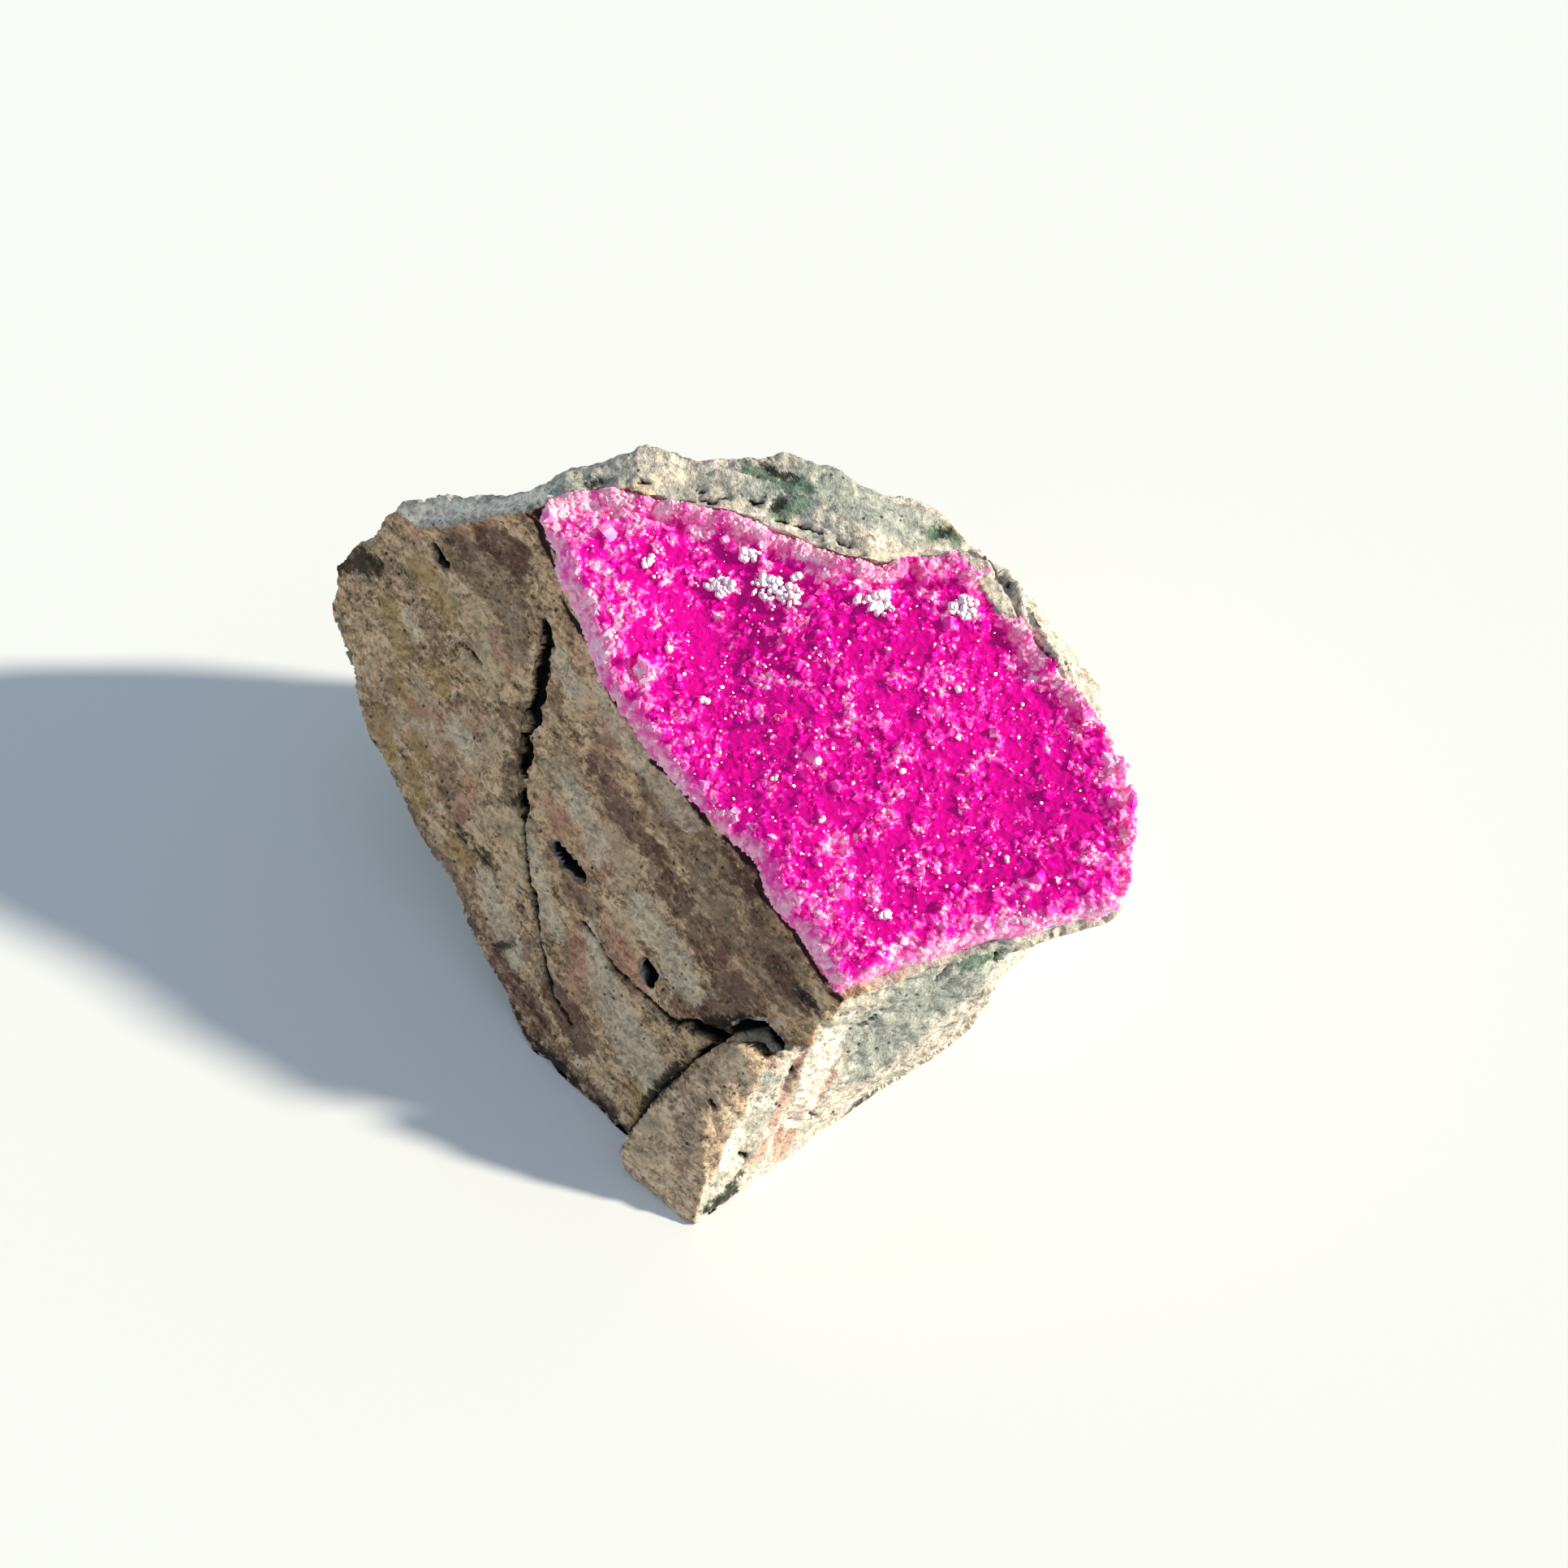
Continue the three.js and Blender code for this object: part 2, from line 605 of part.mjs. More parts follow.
// A closed body over the whole druse between one uneven face and one flat one. The uneven face is a lattice of
// triangles, and the rule gives each of its corners from its column, its row and its place.
function lattice(pitch, flatHeight, cornerAt) {
  const [lowU, lowV, sizeU, sizeV] = [-29, -26, 58, 54];
  const columns = Math.ceil(sizeU / pitch);
  const rows = Math.ceil(sizeV / (pitch * Math.sin(Math.PI / 3)));
  const coordinates = [];
  for (let j = 0; j <= rows; j++) {
    for (let i = 0; i <= columns; i++) {
      const u = lowU + (i + (j % 2) / 2) * pitch;
      const v = lowV + j * pitch * Math.sin(Math.PI / 3);
      coordinates.push(...cornerAt(u, v, i - Math.floor(j / 2), j));
    }
  }
  const at = (i, j) => j * (columns + 1) + i;
  const triangles = [];
  for (let j = 0; j < rows; j++) {
    for (let i = 0; i < columns; i++) {
      const [a, b, c, d] = [at(i, j), at(i + 1, j), at(i + 1, j + 1), at(i, j + 1)];
      if (j % 2) triangles.push(a, b, c, a, c, d);
      else triangles.push(a, b, d, b, c, d);
    }
  }
  const edge = [];
  for (let i = 0; i < columns; i++) edge.push(at(i, 0));
  for (let j = 0; j < rows; j++) edge.push(at(columns, j));
  for (let i = columns; i > 0; i--) edge.push(at(i, rows));
  for (let j = rows; j > 0; j--) edge.push(at(0, j));
  const firstFlat = coordinates.length / 3;
  edge.forEach((n) => coordinates.push(coordinates[3 * n], coordinates[3 * n + 1], flatHeight));
  coordinates.push(lowU + sizeU / 2, lowV + sizeV / 2, flatHeight);
  edge.forEach((n, k) => {
    const [flat, nextFlat] = [firstFlat + k, firstFlat + ((k + 1) % edge.length)];
    const next = edge[(k + 1) % edge.length];
    triangles.push(n, flat, nextFlat, n, nextFlat, next, flat, firstFlat + edge.length, nextFlat);
  });
  const isAbove = flatHeight > 0;
  if (isAbove) triangles.reverse();
  return solidFrom(indexedGeometry(coordinates, triangles));
}

// A closed outline at each of two heights, joined by walls. The outlines run anticlockwise.
function loft(lowOutline, lowHeight, highOutline, highHeight) {
  const n = lowOutline.length;
  const coordinates = [
    ...lowOutline.flatMap(([u, v]) => [u, v, lowHeight]),
    ...highOutline.flatMap(([u, v]) => [u, v, highHeight]),
  ];
  const cap = (outline) =>
    THREE.ShapeUtils.triangulateShape(outline.map(([u, v]) => new THREE.Vector2(u, v)), []);
  const triangles = [
    ...cap(lowOutline).flatMap(([a, b, c]) => [a, c, b]),
    ...cap(highOutline).flatMap(([a, b, c]) => [a + n, b + n, c + n]),
  ];
  for (let i = 0; i < n; i++) {
    const next = (i + 1) % n;
    triangles.push(i, next, next + n, i, next + n, i + n);
  }
  return solidFrom(indexedGeometry(coordinates, triangles));
}

// The crust's outline at a height, anticlockwise. The border is that of its foot.
const crustOutlineAt = (height) =>
  [...RIM_BORDER, ...BROKEN_BORDER].reverse().map(([u, v, leanU = 0, leanV = 0]) => {
    const rise = height + CRUST_THICKNESS;
    return [u + leanU * rise, v + leanV * rise];
  });

// The rim's border, moved out into the rock by a distance.
const rimOutline = (distance) =>
  RIM_BORDER.map(([u, v], i) => {
    const [lastU, lastV] = RIM_BORDER[Math.max(i - 1, 0)];
    const [nextU, nextV] = RIM_BORDER[Math.min(i + 1, RIM_BORDER.length - 1)];
    const out = new THREE.Vector2(lastV - nextV, nextU - lastU).setLength(distance);
    return [u + out.x, v + out.y];
  }).reverse();

const crustTrim = loft(crustOutlineAt(-4), -4, crustOutlineAt(3), 3);

const seatOutline = [...SEAT_RUNOUT, ...rimOutline(SEAT_GAP)];
const seatTrim = loft(seatOutline, -5, seatOutline, 9);

// ---------------------------------------------------------------- calcite crust

const random = randomSequence(7);
const spread = (range) => range * (random() - 0.5);

// The carpet of small crystals. On the lattice every third corner is a crystal's tip, and round each tip the
// other corners are by turns a shoulder and a valley, so each crystal shows three flat rhombs.
const carpet = lattice(CRYSTAL_PITCH / Math.sqrt(3), -9, (u, v, q, r) => {
  const role = (((q - r) % 3) + 3) % 3;
  const rise = [0.5, 0.05, -0.5][role] * CRYSTAL_HEIGHT;
  const [moveU, moveV] = [spread(CRYSTAL_SCATTER), spread(CRYSTAL_SCATTER)];
  return [u + moveU, v + moveV, bedTopAt(u, v) + rise + spread(CRYSTAL_UNEVENNESS)];
});

// One larger rhombohedron, whose long diagonal leans from the druse's normal.
function largeCrystalAt(u, v) {
  const [flare, rise] = [0.62 * LARGE_CRYSTAL_EDGE, 0.72 * LARGE_CRYSTAL_EDGE];
  const edges = [0, 1, 2].map((k) => {
    const angle = (k * 2 * Math.PI) / 3;
    return new THREE.Vector3(flare * Math.cos(angle), flare * Math.sin(angle), rise);
  });
  const lean = new THREE.Euler(spread(LARGE_CRYSTAL_LEAN), spread(LARGE_CRYSTAL_LEAN), spread(2 * Math.PI));
  const place = new THREE.Matrix4().makeRotationFromEuler(lean).setPosition(u, v, bedTopAt(u, v));
  const corners = [];
  for (let mask = 0; mask < 8; mask++) {
    const corner = new THREE.Vector3(0, 0, -1.5 * rise);
    edges.forEach((side, k) => mask & (1 << k) && corner.add(side));
    corners.push(corner.applyMatrix4(place));
  }
  return solidFrom(new ConvexGeometry(corners));
}

const aboveUnderside = lattice(BED_PITCH, 9, (u, v) => [u, v, bedUnderAt(u, v)]);
let crust = carpet;
for (const [u, v] of LARGE_CRYSTALS) crust = crust.add(largeCrystalAt(u, v));
crust = crust.intersect(aboveUnderside).intersect(crustTrim);

// ---------------------------------------------------------------- seat in the rock

const seatCut = lattice(BED_PITCH, 8, (u, v) => [u, v, bedUnderAt(u, v) - SEAT_GAP]).intersect(seatTrim);
rockSolid = rockSolid.subtract(solidFrom(geometryFrom(seatCut).applyMatrix4(druseFrame)));

// ---------------------------------------------------------------- the specimen

const rock = new THREE.Mesh(
  withoutSlivers(geometryFrom(rockSolid)),
  new THREE.MeshStandardMaterial({ color: 0x8f8472, roughness: 0.9, metalness: 0 }),
);
rock.name = "host_rock";

const druse = new THREE.Mesh(
  withoutSlivers(geometryFrom(crust).applyMatrix4(druseFrame)),
  new THREE.MeshStandardMaterial({ color: 0xd8289a, roughness: 0.3, metalness: 0 }),
);
druse.name = "calcite_crust";

const specimen = new THREE.Group();
specimen.add(rock, druse);

// The origin goes under the middle of the whole specimen's box.
const middle = new THREE.Box3().setFromObject(specimen).getCenter(new THREE.Vector3());
for (const mesh of [rock, druse]) mesh.geometry.translate(-middle.x, -middle.y, 0);
export default specimen;
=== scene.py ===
"""A hand specimen of cobaltoan calcite: a broken block of host rock, with a druse of pink calcite over
its sloping upper face.

The file is laid out as an add-on and run as a script. It loads the solid model as its frame and makes:
    host_rock_skin     the rock, with its chipped and pitted skin, cracks, stains, grain, painted shade and painted light
    crust_bed          the bed of the druse, with its carpet of crystal tips and its broken edges
    small_crystals     small rhombs that stand out of the carpet
    large_crystals     the larger rhombs
    fringe_crystals    small rhombs along the brink, where the bed meets the rock
    glinting_crystals  polished faces that stand parallel and mirror the light, painted near-white as a
    highlight
and a floor, the light and the camera. Lengths in the tables below are in millimetres.
"""

import json
import math

import bmesh
import bpy
import numpy as np
from mathutils import Matrix, Vector, noise
from mathutils.bvhtree import BVHTree
from mathutils.kdtree import KDTree

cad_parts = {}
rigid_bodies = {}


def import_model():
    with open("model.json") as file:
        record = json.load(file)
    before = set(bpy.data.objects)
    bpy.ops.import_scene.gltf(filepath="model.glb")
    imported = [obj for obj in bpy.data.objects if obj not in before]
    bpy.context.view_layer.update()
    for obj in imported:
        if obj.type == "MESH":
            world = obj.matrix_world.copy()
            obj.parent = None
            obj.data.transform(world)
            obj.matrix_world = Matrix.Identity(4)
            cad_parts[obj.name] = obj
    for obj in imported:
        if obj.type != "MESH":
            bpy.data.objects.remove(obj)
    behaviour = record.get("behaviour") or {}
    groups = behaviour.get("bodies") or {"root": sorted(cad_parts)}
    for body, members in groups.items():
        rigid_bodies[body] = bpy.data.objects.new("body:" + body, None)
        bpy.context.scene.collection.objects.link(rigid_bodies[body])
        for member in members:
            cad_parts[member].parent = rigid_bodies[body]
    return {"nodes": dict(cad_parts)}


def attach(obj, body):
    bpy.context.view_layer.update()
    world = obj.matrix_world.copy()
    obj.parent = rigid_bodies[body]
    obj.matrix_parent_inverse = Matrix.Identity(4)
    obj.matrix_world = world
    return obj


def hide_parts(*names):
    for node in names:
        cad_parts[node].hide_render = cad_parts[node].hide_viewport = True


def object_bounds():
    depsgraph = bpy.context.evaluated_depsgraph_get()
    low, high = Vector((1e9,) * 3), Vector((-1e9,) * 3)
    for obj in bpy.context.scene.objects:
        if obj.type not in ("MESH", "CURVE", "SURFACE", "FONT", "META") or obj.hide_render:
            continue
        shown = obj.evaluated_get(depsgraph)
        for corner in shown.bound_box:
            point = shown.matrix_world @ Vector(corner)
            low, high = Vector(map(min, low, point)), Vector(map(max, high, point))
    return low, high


bl_info = {
    "name": "Cobaltoan Calcite Specimen",
    "version": (1, 0, 0),
    "blender": (4, 5, 0),
    "location": "3D View > Sidebar > Specimen",
    "description": "Gives a mineral specimen its rock skin, its crystals and its stage",
    "category": "Add Mesh",
}

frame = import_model()
CAD_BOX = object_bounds()

MM = 0.001

# ---------------------------------------------------------------- the fixed view

VIEW_PIXELS = 1932
VIEW_TARGET = (4.57, 3.2, 12.0)
VIEW_DISTANCE = 186.6
VIEW_RISE = math.radians(50)
FIELD_OF_VIEW = math.radians(30)
PIXELS_PER_MM = 19.3

# ---------------------------------------------------------------- the faces that patterns lie on

DRUSE_TILT = math.radians(21.8)
DRUSE_MIDDLE = (8.17, -1.94, 21.6)
LEFT_FACE_FOOT = (-5.13, -15.85, 0.0)
LEFT_FACE_ACROSS = (0.709, -0.705, 0.0)
LEFT_FACE_UP = (0.381, 0.383, 0.842)
LEFT_FACE_OUT = (-0.594, -0.597, 0.540)
LEFT_FACE_REACH = 3.2  # how far from its plane the left face's patterns reach
GRAIN_SLANT = math.radians(-7)  # the left face's streaks run down towards the front
GRAIN_STRETCH = 0.45

# ---------------------------------------------------------------- the rock's relief

# How wide each kind of unevenness is, and how deep it goes into the rock.
CHIP_WIDTH, CHIP_SHARE = 2.4, 0.55
SMALL_CHIP_WIDTH, SMALL_CHIP_SHARE = 0.9, 0.38
LEFT_CHIP_DEPTH = 0.14
STREAK_WIDTH, STREAK_DEPTH = 0.7, 0.12
LEDGE_WIDTH, LEDGE_DEPTH = 1.0, 0.34
GRAIN_WIDTH, GRAIN_DEPTH = 0.55, 0.11
WAVE_WIDTH, WAVE_DEPTH = 2.9, 0.14
PIT_SPACING, PIT_DEPTH = 1.7, 0.16
THIN_CLEFT_DEPTH = 0.35
OPEN_CLEFT_DEPTH = 0.95
RIM_PIT_DEPTH = 0.40
SEAM_DEPTH = 0.10
RIM_DROP = 0.6  # how far the top of the right-hand rim is lowered
RIM_BULGE = 0.9  # how far the side of the right-hand rim bulges
ROCK_HIDDEN_SHARE = 0.25  # how much of the rock's mesh is thinned away, on its underside

# ---------------------------------------------------------------- the druse's growth

CARPET_REPEAT = 97  # cells before the carpet's chance values come round again
LARGE_PITCH = 1.05  # between the carpet's larger tips
SMALL_PITCH = 0.54
ROW_GAP = 0.87  # between the carpet's rows, in pitches
TIP_TURN = 2.1  # between a tip's three sides, in radians
BED_SINK = 0.26  # how far the carpet's floor lies below the solid's face
THINNEST_BED = 0.35
SEAT_REACH = 0.62  # the crust's walls are grown onto rock that is this near
SEAT_GRIP = 0.12
RIM_CLIMB = 0.65  # how far the crust climbs where rock stands beside it
RIM_PULL = 1.0  # how far the crust's right corner stays back from the rock's edge
SEAT_LOOK = 5.0  # how far above the seat the crust is looked for
BED_HIDDEN_SHARE = 0.235

# How pale the druse is, and what makes it paler or deeper.
BASE_PALENESS = 0.335
PALER = {"light": 0.20, "edge": 0.42, "corner": 0.20, "front": 0.05, "deep": -0.28, "wet": -0.24}

# ---------------------------------------------------------------- light

KEY_FROM = (0.90, -0.07, 0.42)
KEY_COLOUR = (1.0, 0.93, 0.78)
KEY_SPREAD = math.radians(4)
FILL_COLOUR = (0.33, 0.40, 0.49)
FLOOR_GAP = 0.00002  # in metres, under the specimen

# ---------------------------------------------------------------- the calcite's looks

CALCITE_INDEX = 1.5
CALCITE_GLOSS = 0.16
GLOW_RADIUS = (1.0, 0.25, 0.65)
GLOW_DEPTH = 0.0006  # in metres
BED_GLOW = 0.65
CRYSTAL_GLOW = 0.25
# How strong the calcite's painted glow is: an emission, as if it passed on light from inside.
PAINTED_GLOW_STRENGTH = 0.07

# ---------------------------------------------------------------- cracks, pits and stains, with painted shade and light

# Each is a row of points in the fixed view, across and down in its pixels, with the width there in pixels.
# Those of the left face lie on its plane.
OPEN_CLEFTS = (
    (
        (668, 766, 6), (672, 780, 11), (672, 795, 12), (668, 812, 15), (664, 826, 8), (665, 838, 12),
        (662, 855, 13), (655, 872, 12), (659, 885, 17), (652, 897, 6), (646, 908, 4), (649, 921, 12),
        (649, 931, 13), (640, 943, 8), (644, 954, 4), (647, 968, 5), (645, 981, 8), (645, 988, 13),
        (649, 999, 3),
    ),
    ((668, 822, 8), (676, 832, 3)),
    ((683, 1041, 6), (694, 1055, 10), (707, 1071, 6), (717, 1083, 7)),
    ((793, 1183, 6), (798, 1194, 13), (800, 1205, 13), (799, 1210, 6)),
    ((534, 671, 4), (543, 683, 8), (551, 696, 4)),
    ((834, 1261, 3), (858, 1265, 5), (880, 1272, 6), (893, 1275, 4), (908, 1266, 5), (926, 1267, 8)),
    ((926, 1267, 8), (938, 1274, 14), (950, 1286, 11), (957, 1297, 5)),
    ((887, 1281, 4), (872, 1291, 7), (856, 1301, 5)),
    ((653, 1102, 5), (656, 1118, 8), (657, 1128, 3)),
)
# Those of them that the solid has as straight cuts, which are filled up first.
FILLED_CLEFTS = (*OPEN_CLEFTS[:2], OPEN_CLEFTS[5][:4])
THIN_CLEFTS = (
    (
        (646, 998, 3), (645, 1020, 3), (646, 1045, 3), (649, 1079, 3), (655, 1106, 4), (658, 1135, 3),
        (663, 1165, 3), (668, 1190, 6), (679, 1222, 4), (687, 1238, 5), (700, 1262, 3),
    ),
    (
        (712, 1137, 3), (722, 1146, 4), (735, 1158, 3), (748, 1182, 3), (763, 1200, 4), (778, 1215, 3),
        (795, 1231, 3), (808, 1242, 4), (822, 1258, 4), (832, 1262, 4),
    ),
    ((856, 1301, 4), (838, 1318, 3), (811, 1344, 3), (791, 1371, 3), (775, 1397, 2)),
    ((566, 790, 2), (580, 802, 3), (592, 818, 2)),
)
# On the rock's other faces.
RIM_PITS = (
    ((783, 595, 2), (790, 592, 5), (799, 594, 2)),
    ((770, 604, 2), (775, 606, 3)),
    ((856, 601, 2), (868, 603, 3)),
    ((862, 612, 2), (872, 616, 5), (882, 617, 2)),
    ((832, 616, 2), (842, 618, 3), (852, 618, 2)),
    ((922, 614, 2), (930, 616, 4), (939, 617, 2)),
    ((955, 637, 2), (963, 638, 4), (972, 641, 2)),
    ((976, 643, 2), (988, 646, 4), (1003, 651, 3)),
    ((1004, 652, 2), (1012, 655, 3)),
    ((1030, 662, 2), (1037, 666, 3), (1047, 670, 2)),
    ((1054, 680, 2), (1060, 682, 4), (1067, 683, 2)),
    ((884, 610, 2), (897, 611, 2)),
    ((905, 640, 2), (925, 650, 3), (935, 652, 2)),
    ((1084, 706, 4), (1092, 711, 7), (1101, 714, 3)),
    ((914, 1425, 5), (921, 1427, 8), (925, 1432, 4)),
    ((1228, 1178, 3), (1233, 1186, 5), (1236, 1192, 3)),
    ((870, 1354, 3), (876, 1362, 6), (882, 1371, 4)),
    ((1000, 1377, 4), (1009, 1379, 6)),
    ((1150, 1215, 2), (1162, 1205, 3), (1172, 1194, 3)),
    ((1060, 1270, 2), (1076, 1258, 3), (1090, 1250, 2)),
    ((975, 1330, 3), (981, 1318, 4)),
)
# The dark seam where the rock shows beside the druse's broken edge.
SEAMS = (
    ((654, 634, 5), (662, 650, 8), (668, 668, 9), (676, 684, 6), (684, 700, 3)),
    ((692, 742, 3), (701, 760, 6), (712, 776, 5), (722, 792, 2)),
    ((733, 822, 4), (745, 842, 5), (757, 862, 6), (771, 884, 4), (786, 906, 3), (795, 919, 3)),
    (
        (800, 938, 4), (812, 948, 7), (826, 958, 8), (836, 972, 6), (846, 985, 8), (858, 1001, 6),
        (870, 1017, 4),
    ),
    ((888, 1032, 4), (904, 1046, 7), (918, 1062, 5)),
    (
        (930, 1088, 4), (940, 1104, 6), (954, 1122, 5), (968, 1144, 5), (984, 1164, 7), (1001, 1188, 7),
        (1016, 1208, 6),
    ),
)
# The sharp edge between the left face and the paler band above it, on the left face.
TOP_EDGE = ((516, 652, 2), (545, 649, 2), (568, 648, 2), (613, 637, 2), (658, 630, 2), (760, 596, 2))
TOP_EDGE_ENDS = (-19.5, -9.5)  # where the band's tilt fades out, across the druse
TOP_TILT = 0.55  # how far the edge stands out, and the ridge is pressed in
# Where the rock is pressed in, with how deep in millimetres.
PRESSED = (
    (((434, 668, 14), (449, 655, 20), (458, 648, 10)), 0.85),
    (((408, 730, 10), (410, 755, 8)), 0.3),
    (((1290, 752, 20), (1310, 778, 20)), 0.35),
    (((470, 1000, 12), (500, 1040, 12)), 0.3),
)
# The pale edge of rock at the druse's right, which bulges.
RIGHT_RIM = ((1200, 700, 14), (1232, 722, 24), (1256, 756, 26), (1280, 800, 22), (1312, 846, 14))
# Where the left face is stained, and where shade is painted on it.
STAINS = {
    "salmon": (
        ((572, 958, 10), (577, 980, 24), (568, 1004, 14)),
        ((608, 782, 12), (618, 802, 18), (628, 826, 10)),
        ((676, 984, 10), (686, 1006, 22), (692, 1026, 12)),
        ((706, 1142, 14), (714, 1180, 30), (706, 1214, 26), (700, 1240, 12)),
        ((750, 1128, 12), (764, 1160, 26), (778, 1196, 30), (786, 1222, 12)),
        ((506, 866, 10), (526, 882, 16)),
        ((532, 640, 18), (512, 658, 22)),
        ((728, 1046, 10), (748, 1074, 14)),
        ((598, 1180, 20), (616, 1216, 26)),
        ((800, 900, 10), (818, 920, 12)),
    ),
    "maroon": (
        ((612, 1190, 30), (636, 1232, 50), (656, 1270, 50), (680, 1306, 40)),
        ((676, 1216, 24), (698, 1250, 36), (722, 1286, 30)),
        ((650, 1290, 26), (700, 1326, 30), (750, 1372, 24)),
        ((786, 1030, 16), (806, 1052, 24)),
        ((820, 1088, 30), (838, 1110, 36)),
        ((862, 1150, 40), (880, 1176, 44)),
        ((896, 1216, 40), (916, 1236, 34)),
        ((836, 1236, 22), (876, 1246, 28), (930, 1240, 30)),
        ((726, 940, 14), (756, 990, 26), (786, 1030, 22)),
        ((896, 1040, 16), (912, 1068, 18), (926, 1100, 14)),
        ((955, 1190, 18), (990, 1236, 22)),
        ((600, 660, 30), (640, 690, 34)),
    ),
    "umber": (
        ((790, 950, 20), (850, 1040, 60), (920, 1140, 76), (975, 1220, 60)),
        ((560, 680, 50), (620, 720, 60), (640, 800, 30)),
        ((640, 880, 20), (630, 980, 24)),
        ((700, 1090, 20), (730, 1120, 20)),
        ((500, 1000, 20), (540, 1060, 24), (580, 1150, 20)),
    ),
    "ochre": (
        ((478, 738, 16), (486, 776, 26), (498, 806, 20)),
        ((496, 842, 16), (508, 872, 20)),
        ((528, 816, 14), (544, 846, 20)),
        ((512, 898, 16), (522, 934, 20)),
        ((516, 696, 24), (540, 732, 26), (560, 765, 16)),
        ((780, 1342, 14), (790, 1362, 18), (784, 1384, 12)),
        ((556, 1034, 16), (572, 1062, 18)),
        ((504, 946, 16), (520, 988, 22)),
        ((898, 1024, 8), (904, 1012, 6)),
        ((468, 880, 18), (482, 930, 22)),
    ),
    "pale": (
        ((498, 758, 12), (510, 776, 10)),
        ((512, 892, 10), (534, 900, 9)),
        ((724, 1150, 20), (742, 1206, 34), (764, 1262, 44), (796, 1320, 44)),
        ((696, 960, 18), (722, 1010, 30), (742, 1056, 26)),
        ((786, 1112, 20), (818, 1160, 36), (842, 1204, 34), (858, 1230, 12)),
        ((594, 1080, 22), (618, 1140, 30), (634, 1180, 22)),
        ((660, 1050, 14), (668, 1110, 20), (684, 1150, 18)),
        ((556, 896, 20), (580, 930, 22)),
        ((738, 846, 24), (790, 930, 34), (850, 1010, 26)),
        ((684, 800, 12), (706, 850, 18)),
    ),
    "verdigris": (
        ((646, 1010, 2), (646, 1024, 3)),
        ((655, 1108, 2), (656, 1124, 3)),
        ((668, 1192, 2), (671, 1198, 2)),
        ((412, 770, 10), (422, 830, 12)),
    ),
    # Near-black: mostly painted shade in grooves, in the hole above the wedge, along the foot and on the
    # shaded far corner; a few are small black specks.
    "soot": (
        ((624, 1240, 8), (644, 1280, 14), (668, 1304, 20), (692, 1320, 18), (708, 1334, 10)),
        ((714, 1342, 6), (742, 1368, 8), (770, 1394, 9)),
        ((598, 1062, 3), (590, 1050, 8), (580, 1038, 3)),
        ((604, 1165, 3), (618, 1164, 4), (628, 1163, 3)),
        ((572, 1034, 5), (565, 1020, 3)),
        ((985, 1222, 8), (998, 1236, 9), (1004, 1246, 5)),
        ((826, 1258, 5), (862, 1262, 10), (900, 1262, 12), (940, 1258, 10)),
        ((840, 1312, 10), (812, 1340, 12), (792, 1370, 8)),
        ((414, 692, 24), (440, 690, 28), (464, 700, 18)),
    ),
}
